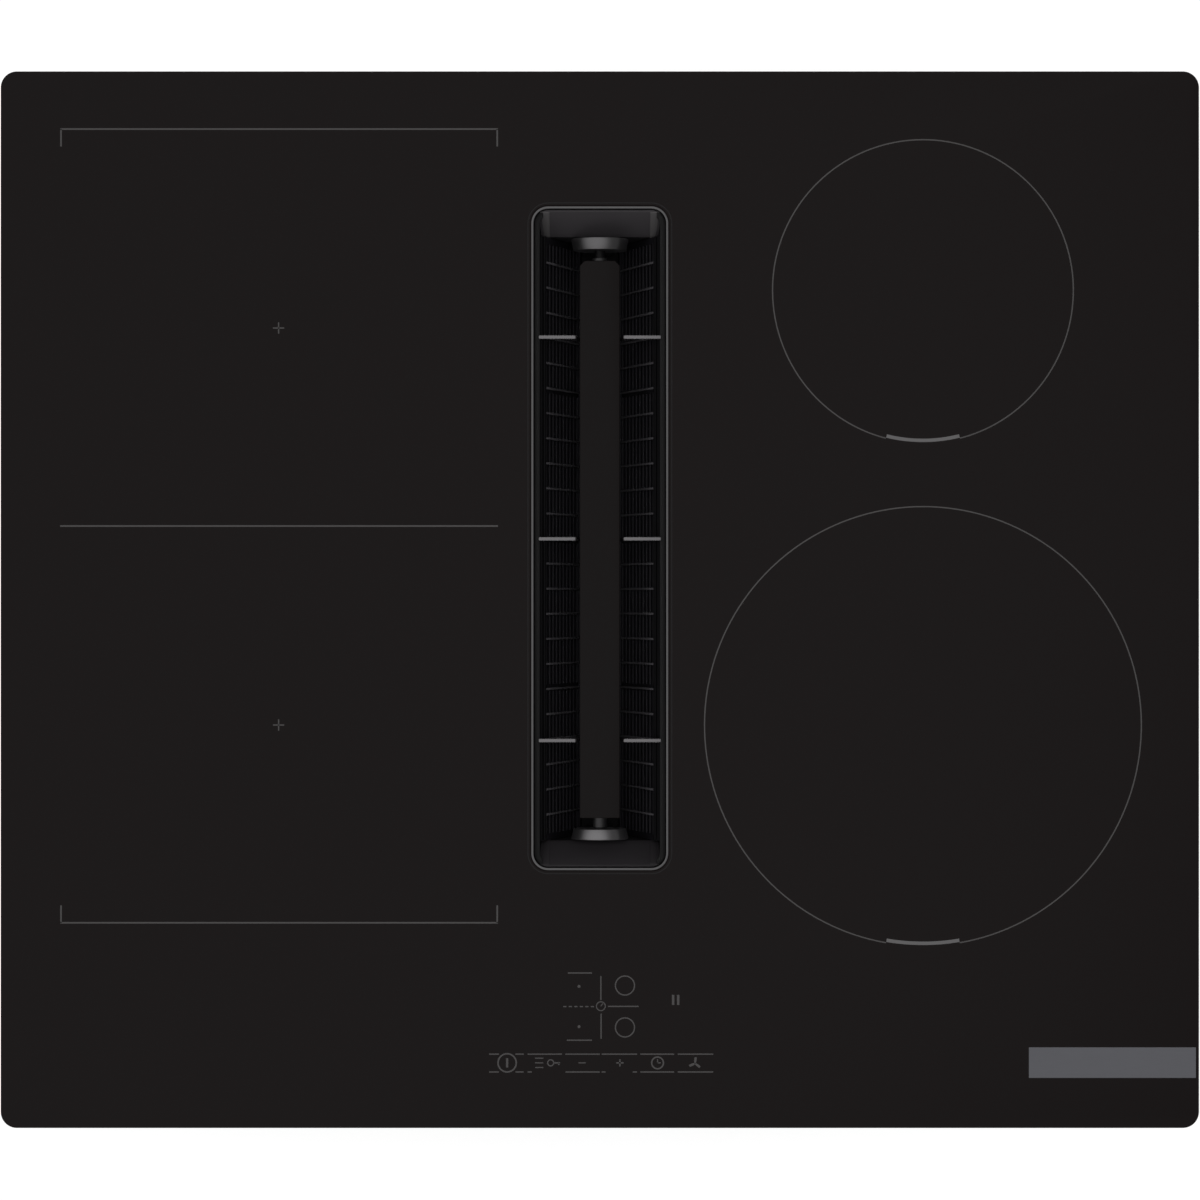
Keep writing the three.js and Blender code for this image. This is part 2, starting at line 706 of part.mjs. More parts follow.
function rungLadder() {
  const height = V_LENGTH - 2 * FIT - 2 * PANEL_BORDER;
  const halfLength = PANEL_HALF_LENGTH - FIT;
  const openings = [];
  for (let i = 0; i <= RUNG_COUNT; i += 1) {
    const middle = (i - RUNG_COUNT / 2) * RUNG_PITCH;
    const left = Math.max(middle - (RUNG_PITCH - RUNG_WIDTH) / 2, LADDER_RAIL - halfLength);
    const right = Math.min(middle + (RUNG_PITCH - RUNG_WIDTH) / 2, halfLength - LADDER_RAIL);
    openings.push([left, right, LADDER_RAIL, height - LADDER_RAIL]);
  }
  return grille(halfLength, height, openings, LADDER_THICKNESS);
}

// Leans a flat grille on the slope of the cassette's right side: its height runs up the slope and
// its thickness inwards, from the given distances up the slope and in from the outer face.
function leanOnRight(geometry, upSlope, inward) {
  const along = new THREE.Vector3(0, -1, 0);
  const up = new THREE.Vector3(Math.sin(V_ANGLE), 0, Math.cos(V_ANGLE));
  const face = new THREE.Vector3(-Math.cos(V_ANGLE), 0, Math.sin(V_ANGLE));
  return geometry
    .translate(0, upSlope, inward)
    .applyMatrix4(new THREE.Matrix4().makeBasis(along, up, face))
    .translate(cassetteHalfWidth(V_BOTTOM), 0, V_BOTTOM);
}

function filterWall() {
  return leanOnRight(slatPanel(), FIT, 0);
}

function filterLadder() {
  return leanOnRight(rungLadder(), FIT + PANEL_BORDER, CASSETTE_WALL + FIT);
}

function gripBar() {
  const top = OVERALL_HEIGHT - BAR_DROP;
  const bottom = top - BAR_HEIGHT;
  const half = BAR_WIDTH / 2;
  const end = BAR_HALF_LENGTH;
  const plan = polygon([
    [half, -end + BAR_CHAMFER],
    [half, end - BAR_CHAMFER],
    [half - BAR_CHAMFER, end],
    [BAR_CHAMFER - half, end],
    [-half, end - BAR_CHAMFER],
    [-half, BAR_CHAMFER - end],
    [BAR_CHAMFER - half, -end],
    [half - BAR_CHAMFER, -end],
  ]);
  const section = new THREE.Shape();
  section.moveTo(-half - PAST, top + PAST);
  section.lineTo(-half - PAST, bottom + half);
  section.lineTo(-half, bottom + half);
  section.absarc(0, bottom + half, half, Math.PI, 2 * Math.PI);
  section.lineTo(half + PAST, bottom + half);
  section.lineTo(half + PAST, top + PAST);
  const body = common(slab(plan, bottom, top), alongY(section, -end - PAST, end + PAST, SMALL_ROUND));
  const socket = neckAxis(cylinder(NECK_RADIUS + FIT, end - NECK_GRIP - FIT, end + PAST, HOLE_ROUND));
  return cut(body, socket, socket.clone().rotateZ(Math.PI));
}

// Turns a body made along Z to lie along +Y on the neck's axis.
function neckAxis(geometry) {
  return geometry.rotateX(-Math.PI / 2).translate(0, 0, OVERALL_HEIGHT - NECK_DROP);
}

function barBracket() {
  const near = BAR_HALF_LENGTH + BOSS_GAP;
  const far = near + BOSS_THICKNESS;
  const boss = new THREE.CylinderGeometry(BOSS_RADIUS, BOSS_TIP_RADIUS, BOSS_THICKNESS, BORE_ROUND)
    .rotateX(Math.PI / 2)
    .translate(0, 0, (near + far) / 2);
  const neck = cylinder(NECK_RADIUS, BAR_HALF_LENGTH - NECK_GRIP, far - PAST, HOLE_ROUND);
  const foot = V_BOTTOM + GUTTER_LIP + FIT;
  const post = box(POST_WIDTH, POST_THICKNESS, foot, OVERALL_HEIGHT - NECK_DROP, 0, (near + far) / 2);
  return join(neckAxis(boss), neckAxis(neck), post);
}

function crossRib() {
  const top = OVERALL_HEIGHT - CROSS_RIB_DROP;
  const hook = FLANGE_TOP + FIT;
  const under = top - CROSS_RIB_HEIGHT;
  const strapTop = OVERALL_HEIGHT - BAR_DROP - BAR_HEIGHT - FIT;
  const strapBottom = strapTop - CROSS_RIB_LEG;
  const inner = BAR_WIDTH / 2 + CROSS_RIB_GAP;
  const outer = inner + CROSS_RIB_LEG;
  const flangeEdge = VENT_WIDTH / 2 - TRIM_LINE - FIT - FLANGE_WIDTH - FIT;
  const wallEdge = cassetteHalfWidth(under) - CASSETTE_WALL / Math.cos(V_ANGLE) - FIT;
  const shape = new THREE.Shape();
  const round = CROSS_RIB_ROUND;
  shape.moveTo(-CROSS_RIB_REACH, top);
  shape.lineTo(-CROSS_RIB_REACH, hook);
  shape.lineTo(-flangeEdge, hook);
  shape.lineTo(-wallEdge, under);
  shape.lineTo(-outer, under);
  shape.lineTo(-outer, strapBottom);
  shape.lineTo(outer, strapBottom);
  shape.lineTo(outer, under);
  shape.lineTo(wallEdge, under);
  shape.lineTo(flangeEdge, hook);
  shape.lineTo(CROSS_RIB_REACH, hook);
  shape.lineTo(CROSS_RIB_REACH, top);
  shape.absarc(inner + round, top - round, round, Math.PI / 2, Math.PI);
  shape.lineTo(inner, strapTop);
  shape.lineTo(-inner, strapTop);
  shape.absarc(-inner - round, top - round, round, 0, Math.PI / 2);
  return alongY(shape, -CROSS_RIB_THICKNESS / 2, CROSS_RIB_THICKNESS / 2, VENT_STEPS);
}

function condensateTray() {
  const halfLength = END_HALF_LENGTH + CASSETTE_WALL + FIT + TRAY_WALL;
  const tray = tub(
    TRAY_WIDTH,
    2 * halfLength,
    TRAY_CORNER,
    TRAY_FLOOR_Z,
    TRAY_FLOOR_Z + TRAY_HEIGHT,
    TRAY_WALL,
  );
  const tabTop = V_BOTTOM - GUTTER_THICKNESS + TRAY_TAB_LAP;
  const tabY = halfLength - TRAY_WALL / 2;
  const tab = box(TRAY_TAB_WIDTH, TRAY_WALL, TRAY_FLOOR_Z + TRAY_WALL, tabTop, 0, tabY);
  return join(tray, tab, tab.clone().rotateZ(Math.PI));
}

function vent() {
  const ribs = [
    ["front", -1],
    ["middle", 0],
    ["rear", 1],
  ];
  const made = group(
    piece("vent_trim", ventTrim(), "trim"),
    piece("vent_shaft", ventShaft(), "plastic"),
    piece("filter_frame", filterFrame(), "plastic"),
    piece("filter_wall_right", filterWall(), "steel"),
    piece("filter_wall_left", filterWall().rotateZ(Math.PI), "steel"),
    piece("filter_ladder_right", filterLadder(), "steel"),
    piece("filter_ladder_left", filterLadder().rotateZ(Math.PI), "steel"),
    piece("grip_bar", gripBar(), "glass"),
    piece("bar_bracket_rear", barBracket(), "trim"),
    piece("bar_bracket_front", barBracket().rotateZ(Math.PI), "trim"),
    piece("condensate_tray", condensateTray(), "plastic"),
    ...ribs.map(([name, step]) =>
      piece(`cross_rib_${name}`, crossRib(), "trim", [0, step * CROSS_RIB_PITCH, 0]),
    ),
  );
  made.position.y = VENT_CENTRE_Y;
  return made;
}

// ---- Blower ---------------------------------------------------------------------------------------

// The scroll's widening curve, closed across the side where the duct leaves.
function scrollShape(offset) {
  const start = THREE.MathUtils.degToRad(SCROLL_TONGUE);
  const sweep = 2 * Math.PI - start;
  const steps = 30;
  const points = [];
  for (let i = 0; i <= steps; i += 1) {
    const share = i / steps;
    const radius = SCROLL_START_RADIUS + SCROLL_GROWTH * share + offset;
    const angle = start + sweep * share;
    points.push([radius * Math.cos(angle), radius * Math.sin(angle)]);
  }
  return polygon(points);
}

function scrollBlock(offset, bottom, top, end) {
  const right = SCROLL_END_RADIUS + offset;
  const left = SCROLL_END_RADIUS - DUCT_WIDTH - offset;
  const duct = polygon([
    [left, 0],
    [right, 0],
    [right, end],
    [left, end],
  ]);
  return join(slab(scrollShape(offset), bottom, top), slab(duct, bottom, top));
}

function scrollHousing() {
  const end = OUTLET_Y - FAN_Y;
  return cut(
    scrollBlock(SCROLL_WALL, 0, SCROLL_TOP, end),
    scrollBlock(0, SCROLL_WALL, SCROLL_TOP + PAST, end + PAST),
  );
}

function ductOutline(growth) {
  return roundedRect(DUCT_WIDTH + 2 * growth, DUCT_HEIGHT + 2 * growth, DUCT_CORNER + growth);
}

function outletSpigot() {
  const start = OUTLET_Y + FIT;
  const lift = SCROLL_WALL + (DUCT_HEIGHT + DUCT_PLAY) / 2;
  const middle = FAN_X + SCROLL_END_RADIUS - DUCT_WIDTH / 2;
  const height = SCROLL_TOP - 2 * FIT;
  const flange = roundedRect(DUCT_WIDTH + 2 * (SCROLL_WALL + SPIGOT_FLANGE), height, DUCT_CORNER);
  const low = (height - DUCT_HEIGHT) / 2 - (lift - height / 2);
  const face = alongY(flange, start, start + SPIGOT_FLANGE_THICKNESS).translate(0, 0, low);
  const sleeve = alongY(ductOutline(0), start, start + SPIGOT_LENGTH);
  const bore = alongY(ductOutline(-SPIGOT_WALL), start - PAST, start + SPIGOT_LENGTH + PAST);
  return cut(join(face, sleeve), bore).translate(middle, 0, lift);
}

function bellmouth() {
  const throat = SCROLL_TOP - INLET_DIP;
  const top = PLENUM_FLOOR_TOP;
  const rise = top - throat;
  const inner = [];
  const outer = [];
  for (let i = 0; i <= CORNER_STEPS; i += 1) {
    const angle = (Math.PI / 2) * (i / CORNER_STEPS);
    const out = INLET_FLARE * (1 - Math.cos(angle));
    const up = throat + rise * Math.sin(angle);
    inner.push([INLET_RADIUS + out, up]);
    outer.push([INLET_RADIUS + INLET_WALL + out, Math.min(up, top)]);
  }
  return turned([...outer, ...inner.reverse()], COIL_ROUND);
}

function plenumFloor() {
  const width = PLENUM_RIGHT - PLENUM_LEFT;
  const depth = PLENUM_REAR - PLENUM_FRONT;
  const x = (PLENUM_RIGHT + PLENUM_LEFT) / 2;
  const y = (PLENUM_REAR + PLENUM_FRONT) / 2;
  const bottom = PLENUM_FLOOR_BOTTOM;
  const top = PLENUM_FLOOR_TOP;
  const plate = slab(roundedRect(width, depth, PLENUM_CORNER), bottom, top).translate(x, y, 0);
  const right = FAN_X + SCROLL_END_RADIUS + SCROLL_WALL;
  const left = right - DUCT_WIDTH - 2 * SCROLL_WALL;
  const middle = (left + right) / 2;
  const ductCover = box(right - left, OUTLET_Y - y, bottom, top, middle, (OUTLET_Y + y) / 2);
  const eye = cylinder(INLET_RADIUS + INLET_FLARE, bottom - PAST, top + PAST, COIL_ROUND);
  const drainOuter = DRAIN_RADIUS + DRAIN_WALL;
  const drainTop = (bottom + top) / 2;
  const drain = tube(drainOuter, DRAIN_RADIUS, bottom - DRAIN_LENGTH, drainTop, HOLE_ROUND);
  const drainHole = cylinder(DRAIN_RADIUS, bottom - PAST, top + PAST, HOLE_ROUND);
  const plain = cut(
    join(plate, ductCover),
    eye.translate(FAN_X, FAN_Y, 0),
    drainHole.translate(CONTAINER_X, CONTAINER_Y, 0),
  );
  return join(
    plain,
    bellmouth().translate(FAN_X, FAN_Y, 0),
    drain.translate(CONTAINER_X, CONTAINER_Y, 0),
  );
}

function plenumHousing() {
  const bottom = PLENUM_FLOOR_TOP + FIT;
  const width = PLENUM_RIGHT - PLENUM_LEFT;
  const depth = PLENUM_REAR - PLENUM_FRONT;
  const x = (PLENUM_RIGHT + PLENUM_LEFT) / 2;
  const y = (PLENUM_REAR + PLENUM_FRONT) / 2;
  const inner = roundedRect(width - 2 * PLENUM_WALL, depth - 2 * PLENUM_WALL, PLENUM_CORNER - PLENUM_WALL);
  const roof = PLENUM_TOP - PLENUM_ROOF_THICKNESS;
  const mouthWidth = VENT_WIDTH - 2 * (SHAFT_WALL + ROOF_LIP_SIDE);
  const mouthLength = VENT_LENGTH - 2 * (SHAFT_WALL + ROOF_LIP_END);
  const mouth = roundedRect(mouthWidth, mouthLength, Math.max(VENT_CORNER - SHAFT_WALL, LEAST_CORNER));
  return cut(
    slab(roundedRect(width, depth, PLENUM_CORNER), bottom, PLENUM_TOP).translate(x, y, 0),
    slab(inner, bottom - PAST, roof).translate(x, y, 0),
    slab(mouth, roof - PAST, PLENUM_TOP + PAST, VENT_STEPS).translate(0, VENT_CENTRE_Y, 0),
  );
}

// One forward-curved blade, seen from above, at the rim on +X.
function bladeShape() {
  const lean = THREE.MathUtils.degToRad(BLADE_LEAN);
  const curve = new THREE.QuadraticBezierCurve(
    new THREE.Vector2(0, 0),
    new THREE.Vector2(-BLADE_DEPTH / 2, -2 * BLADE_CAMBER),
    new THREE.Vector2(-BLADE_DEPTH, 0),
  );
  const line = curve.getPoints(CORNER_STEPS - 1);
  const front = line.map((p) => [p.x, p.y]);
  const back = line.map((p) => [p.x, p.y + BLADE_THICKNESS]).reverse();
  const turnPoint = ([x, y]) => [
    x * Math.cos(lean) - y * Math.sin(lean),
    x * Math.sin(lean) + y * Math.cos(lean),
  ];
  return polygon([...front, ...back].map(turnPoint));
}

function impellerWheel() {
  const bottom = SCROLL_WALL + IMPELLER_LIFT;
  const top = bottom + IMPELLER_HEIGHT;
  const hole = MOTOR_RADIUS + ROTOR_GAP + ROTOR_WALL + FIT;
  const disc = tube(IMPELLER_RADIUS, hole, bottom, bottom + DISC_THICKNESS, WHEEL_ROUND);
  const shroudBore = IMPELLER_RADIUS - SHROUD_WIDTH;
  const shroud = tube(IMPELLER_RADIUS, shroudBore, top - DISC_THICKNESS, top, WHEEL_ROUND);
  const blade = slab(bladeShape(), bottom + PAST, top - PAST).translate(IMPELLER_RADIUS - PAST, 0, 0);
  const blades = [];
  for (let i = 0; i < BLADE_COUNT; i += 1) {
    blades.push(blade.clone().rotateZ((2 * Math.PI * i) / BLADE_COUNT));
  }
  return join(disc, shroud, ...blades);
}

function rotorCup() {
  const inner = MOTOR_RADIUS + ROTOR_GAP;
  const outer = inner + ROTOR_WALL;
  const seat = SCROLL_WALL + IMPELLER_LIFT + DISC_THICKNESS + FIT;
  const cap = SCROLL_WALL + FIT + MOTOR_HEIGHT + ROTOR_GAP;
  return turned(
    [
      [0, cap],
      [inner, cap],
      [inner, seat],
      [outer + ROTOR_FLANGE, seat],
      [outer + ROTOR_FLANGE, seat + ROTOR_WALL],
      [outer, seat + ROTOR_WALL],
      [outer, cap + ROTOR_WALL - MOTOR_CHAMFER],
      [outer - MOTOR_CHAMFER, cap + ROTOR_WALL],
      [0, cap + ROTOR_WALL],
    ],
    COIL_ROUND,
  );
}

function blowerMotor() {
  const bottom = SCROLL_WALL + FIT;
  const flangeTop = bottom + MOTOR_FLANGE_THICKNESS;
  const shoulder = flangeTop + MOTOR_WAIST_HEIGHT;
  return turned(
    [
      [0, bottom],
      [MOTOR_FLANGE_RADIUS, bottom],
      [MOTOR_FLANGE_RADIUS, flangeTop],
      [MOTOR_WAIST, flangeTop],
      [MOTOR_WAIST, shoulder],
      [MOTOR_RADIUS, shoulder + MOTOR_CHAMFER],
      [MOTOR_RADIUS, bottom + MOTOR_HEIGHT - MOTOR_CHAMFER],
      [MOTOR_RADIUS - MOTOR_CHAMFER, bottom + MOTOR_HEIGHT],
      [0, bottom + MOTOR_HEIGHT],
    ],
    HOLE_ROUND,
  );
}

function blower() {
  const centre = [FAN_X, FAN_Y, 0];
  return group(
    piece("scroll_housing", scrollHousing(), "housing", centre),
    piece("outlet_spigot", outletSpigot(), "housing"),
    piece("plenum_floor", plenumFloor(), "housing"),
    piece("plenum_housing", plenumHousing(), "housing"),
    piece("blower_motor", blowerMotor(), "steel", centre),
    piece("blower_rotor", rotorCup(), "steel", centre),
    piece("impeller", impellerWheel(), "plastic", centre),
  );
}

// ---- Overflow container ---------------------------------------------------------------------------

function containerLid() {
  const top = PLENUM_FLOOR_BOTTOM - FIT;
  const grow = 2 * (FIT + LID_WALL);
  const width = CONTAINER_WIDTH + grow;
  const depth = CONTAINER_DEPTH + grow;
  const corner = CONTAINER_CORNER + FIT;
  return cut(
    slab(roundedRect(width, depth, corner + LID_WALL), top - LID_THICKNESS - LID_SKIRT, top),
    slab(
      roundedRect(width - 2 * LID_WALL, depth - 2 * LID_WALL, corner),
      top - LID_THICKNESS - LID_SKIRT - PAST,
      top - LID_THICKNESS,
    ),
    cylinder(DRAIN_RADIUS + DRAIN_WALL + FIT, top - LID_THICKNESS - PAST, top + PAST, HOLE_ROUND),
  );
}

function overflow() {
  const containerTop = PLENUM_FLOOR_BOTTOM - FIT - LID_THICKNESS - FIT;
  const container = tub(
    CONTAINER_WIDTH,
    CONTAINER_DEPTH,
    CONTAINER_CORNER,
    containerTop - CONTAINER_HEIGHT,
    containerTop,
    CONTAINER_WALL,
  );
  const place = [CONTAINER_X, CONTAINER_Y, 0];
  return group(
    piece("container_lid", containerLid(), "housing", place),
    piece("overflow_container", container, "plastic", place),
  );
}

// ---- Induction zones ------------------------------------------------------------------------------

function winding(radius) {
  return tube(radius, COIL_EYE_RADIUS, COIL_TOP - COIL_THICKNESS, COIL_TOP, COIL_ROUND);
}

function carrier(radius, squeeze) {
  const bottom = CARRIER_TOP - CARRIER_THICKNESS;
  const rim = tube(radius, radius - CARRIER_RIM, bottom, CARRIER_TOP, COIL_ROUND);
  const hub = cylinder(COIL_EYE_RADIUS + CARRIER_RIM, bottom, CARRIER_TOP, SMALL_ROUND);
  const arms = [];
  for (let i = 0; i < CARRIER_ARMS; i += 1) {
    const arm = box(2 * radius - CARRIER_RIM, CARRIER_ARM, bottom, CARRIER_TOP);
    arms.push(arm.rotateZ((Math.PI * i) / CARRIER_ARMS));
  }
  const bore = cylinder(SENSOR_RADIUS + FIT, bottom - PAST, CARRIER_TOP + PAST, SMALL_ROUND);
  return cut(join(rim, hub, ...arms).scale(1, squeeze, 1), bore);
}

function sensor() {
  const top = GLASS_BOTTOM - FIT;
  const bottom = PLATE_TOP + FIT;
  return turned(
    [
      [0, bottom],
      [SENSOR_RADIUS, bottom],
      [SENSOR_RADIUS, COIL_TOP - COIL_THICKNESS / 2],
      [SENSOR_HEAD_RADIUS, COIL_TOP],
      [SENSOR_HEAD_RADIUS, top],
      [0, top],
    ],
    SMALL_ROUND,
  );
}

function zone(name, x, y, radiusX, radiusY) {
  const squeeze = radiusY / radiusX;
  return group(
    piece(`coil_carrier_${name}`, carrier(radiusX, squeeze), "plastic", [x, y, 0]),
    piece(`coil_winding_${name}`, winding(radiusX).scale(1, squeeze, 1), "copper", [x, y, 0]),
    piece(`zone_sensor_${name}`, sensor(), "sensor", [x, y, 0]),
  );
}

function coilPlate() {
  const width = PLATE_OUTER_X - PLATE_INNER_X;
  const depth = PLATE_REAR_Y - PLATE_FRONT_Y;
  const x = (PLATE_OUTER_X + PLATE_INNER_X) / 2;
  const y = (PLATE_REAR_Y + PLATE_FRONT_Y) / 2;
  const sheet = box(width, depth, PLATE_TOP - PLATE_THICKNESS, PLATE_TOP, x, y);
  const legs = [];
  for (const dx of [-1, 1]) {
    for (const dy of [-1, 1]) {
      const legX = x + dx * (width / 2 - PLATE_THICKNESS / 2);
      const legY = y + dy * (depth / 2 - PLATE_LEG / 2);
      legs.push(box(PLATE_THICKNESS, PLATE_LEG, CASE_FLOOR + FIT, PLATE_TOP, legX, legY));
    }
  }
  return join(sheet, ...legs);
}

function zones() {
  const leftX = COIL_LEFT_RADIUS_X;
  const leftY = COIL_LEFT_RADIUS_Y;
  return group(
    piece("coil_plate_right", coilPlate(), "aluminium"),
    piece(
      "coil_plate_left",
      coilPlate().rotateZ(Math.PI).translate(0, PLATE_REAR_Y + PLATE_FRONT_Y, 0),
      "aluminium",
    ),
    zone("front_left", -ZONE_X, ZONE_FRONT_Y, leftX, leftY),
    zone("rear_left", -ZONE_X, ZONE_REAR_LEFT_Y, leftX, leftY),
    zone("front_right", ZONE_X, ZONE_FRONT_Y, COIL_FRONT_RADIUS, COIL_FRONT_RADIUS),
    zone("rear_right", ZONE_X, ZONE_REAR_RIGHT_Y, COIL_REAR_RADIUS, COIL_REAR_RADIUS),
  );
}

// ---- Electronics ----------------------------------------------------------------------------------

function powerBoard() {
  const board = box(BOARD_WIDTH, BOARD_DEPTH, BOARD_BOTTOM, BOARD_TOP);
  const top = BOARD_TOP + CAPACITOR_HEIGHT;
  const y = BOARD_DEPTH / 2 - CAPACITOR_DEPTH;
  const capacitors = [-1, 0, 1].map((i) =>
    box(CAPACITOR_WIDTH, CAPACITOR_DEPTH, BOARD_TOP - PAST, top, i * (CAPACITOR_WIDTH + CAPACITOR_GAP), y),
  );
  return join(board, ...capacitors);
}

function heatSink() {
  const bottom = BOARD_TOP + FIT;
  const top = bottom + SINK_HEIGHT;
  const pitch = (SINK_WIDTH - SINK_FIN) / (SINK_FINS - 1);
  const half = SINK_WIDTH / 2;
  const points = [
    [-half, bottom],
    [half, bottom],
  ];
  for (let i = SINK_FINS - 1; i >= 0; i -= 1) {
    const left = -half + i * pitch;
    points.push([left + SINK_FIN, top], [left, top]);
    if (i > 0) {
      points.push([left, bottom + SINK_BASE], [left - pitch + SINK_FIN, bottom + SINK_BASE]);
    }
  }
  return alongY(polygon(points), -SINK_DEPTH / 2, SINK_DEPTH / 2);
}

function coolerFrame() {
  const bottom = CASE_FLOOR + FIT;
  const top = bottom + COOLER_HEIGHT;
  const bore = COOLER_SIZE / 2 - COOLER_RIM;
  const frame = cut(
    slab(roundedRect(COOLER_SIZE, COOLER_SIZE, COOLER_CORNER), bottom, top),
    cylinder(bore, bottom - PAST, top + PAST, HOLE_ROUND),
  );
  const strutTop = bottom + COOLER_STRUT_THICKNESS;
  const hub = cylinder(COOLER_HUB_RADIUS, bottom, strutTop, SMALL_ROUND);
  const strut = box(2 * (bore + PAST), COOLER_STRUT, bottom, strutTop);
  return join(frame, hub, strut.clone().rotateZ(Math.PI / 4), strut.rotateZ(-Math.PI / 4));
}

function coolerRotor() {
  const bottom = CASE_FLOOR + 2 * FIT + COOLER_STRUT_THICKNESS;
  const top = CASE_FLOOR + COOLER_HEIGHT - FIT;
  const reach = COOLER_SIZE / 2 - COOLER_RIM - COOLER_TIP_GAP;
  const hub = cylinder(COOLER_HUB_RADIUS, bottom, top, SMALL_ROUND);
  const middle = (bottom + top) / 2;
  const blades = [];
  for (let i = 0; i < COOLER_BLADES; i += 1) {
    const blade = new THREE.BoxGeometry(reach, COOLER_BLADE_WIDTH, COOLER_BLADE_THICKNESS)
      .rotateX(THREE.MathUtils.degToRad(COOLER_BLADE_PITCH))
      .translate(reach / 2 + COOLER_HUB_RADIUS / 2, 0, middle)
      .rotateZ((2 * Math.PI * i) / COOLER_BLADES);
    blades.push(blade);
  }
  return common(join(hub, ...blades), cylinder(reach, bottom, top, HOLE_ROUND));
}

function controlBoard() {
  const top = GLASS_BOTTOM - CONTROL_DROP;
  return box(CONTROL_WIDTH, CONTROL_DEPTH, top - BOARD_THICKNESS, top);
}

function controlHolder() {
  const top = GLASS_BOTTOM - CONTROL_DROP - BOARD_THICKNESS - FIT;
  const tray = box(CONTROL_WIDTH, CONTROL_DEPTH, top - HOLDER_THICKNESS, top);
  const legs = [-1, 1].map((side) =>
    box(
      HOLDER_THICKNESS,
      CONTROL_DEPTH - 2 * HOLDER_LEG,
      CASE_FLOOR + FIT,
      top - HOLDER_THICKNESS / 2,
      side * (CONTROL_WIDTH / 2 - HOLDER_LEG),
    ),
  );
  return join(tray, ...legs);
}

function choke() {
  const bottom = BOARD_TOP + FIT;
  return tube(CHOKE_RADIUS, CHOKE_BORE, bottom, bottom + CHOKE_HEIGHT, HOLE_ROUND);
}

function electronics() {
  const boardBack = BOARD_Y + BOARD_DEPTH / 2 - 2 * CAPACITOR_DEPTH - CHOKE_RADIUS;
  const pieces = [];
  for (const [side, name] of [
    [-1, "left"],
    [1, "right"],
  ]) {
    const board = [side * BOARD_X, BOARD_Y, 0];
    const sink = [side * BOARD_X, BOARD_Y - BOARD_DEPTH / 2 + SINK_DEPTH / 2 + SINK_INSET, 0];
    const cooler = [side * BOARD_X, COOLER_Y, 0];
    pieces.push(
      piece(`power_board_${name}`, powerBoard(), "board", board),
      piece(`heat_sink_${name}`, heatSink(), "aluminium", sink),
      piece(`cooling_fan_frame_${name}`, coolerFrame(), "plastic", cooler),
      piece(`cooling_fan_rotor_${name}`, coolerRotor(), "plastic", cooler),
    );
  }
  return group(
    ...pieces,
    piece("mains_choke", choke(), "copper", [-BOARD_X, boardBack, 0]),
    piece("control_board", controlBoard(), "board", [CONTROL_X, CONTROL_Y, 0]),
    piece("control_holder", controlHolder(), "plastic", [CONTROL_X, CONTROL_Y, 0]),
  );
}

// ---- Mains connection -----------------------------------------------------------------------------

function terminalBox() {
  const top = CASE_BOTTOM - FIT;
  const bottom = top - TERMINAL_HEIGHT;
  const wall = TERMINAL_WALL;
  const shell = slab(roundedRect(TERMINAL_WIDTH, TERMINAL_DEPTH, TERMINAL_CORNER), bottom, top);
  const inside = box(TERMINAL_WIDTH - 2 * wall, TERMINAL_DEPTH - 2 * wall, bottom + wall, top + PAST);
  const exit = cylinder(GLAND_BORE, 0, 3 * wall, HOLE_ROUND)
    .rotateX(-Math.PI / 2)
    .translate(0, TERMINAL_DEPTH / 2 - 2 * wall, top - TERMINAL_HEIGHT / 2);
  return cut(shell, inside, exit);
}

function cableGland() {
  const nut = GLAND_RADIUS;
  return turned(
    [
      [GLAND_BORE, 0],
      [nut, 0],
      [nut, GLAND_NUT_LENGTH],
      [nut - GLAND_TAPER, GLAND_NUT_LENGTH + GLAND_TAPER],
      [nut - GLAND_TAPER, GLAND_LENGTH],
      [GLAND_BORE, GLAND_LENGTH],
    ],
    SMALL_ROUND,
  ).rotateX(-Math.PI / 2);
}

function mains() {
  const glandY = TERMINAL_Y + TERMINAL_DEPTH / 2 + FIT;
  const glandZ = CASE_BOTTOM - FIT - TERMINAL_HEIGHT / 2;
  return group(
    piece("mains_terminal_box", terminalBox(), "plastic", [TERMINAL_X, TERMINAL_Y, 0]),
    piece("cable_gland", cableGland(), "plastic", [TERMINAL_X, glandY, glandZ]),
  );
}

export default group(hobBody(), vent(), blower(), overflow(), zones(), electronics(), mains());
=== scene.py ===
"""Looks of a downdraft induction cooktop: a black glass plate with printed zones and touch marks, a
vent slot with its slatted filter cassette, and the case, plenum, blower and container underneath.

Sizes in the classes are millimetres, with +X to the right, +Y to the rear and +Z up.
"""

import logging
import math
from collections.abc import Callable, Sequence
from dataclasses import dataclass, field, replace
from enum import Enum
from typing import Any

import bpy
from mathutils import Matrix, Vector

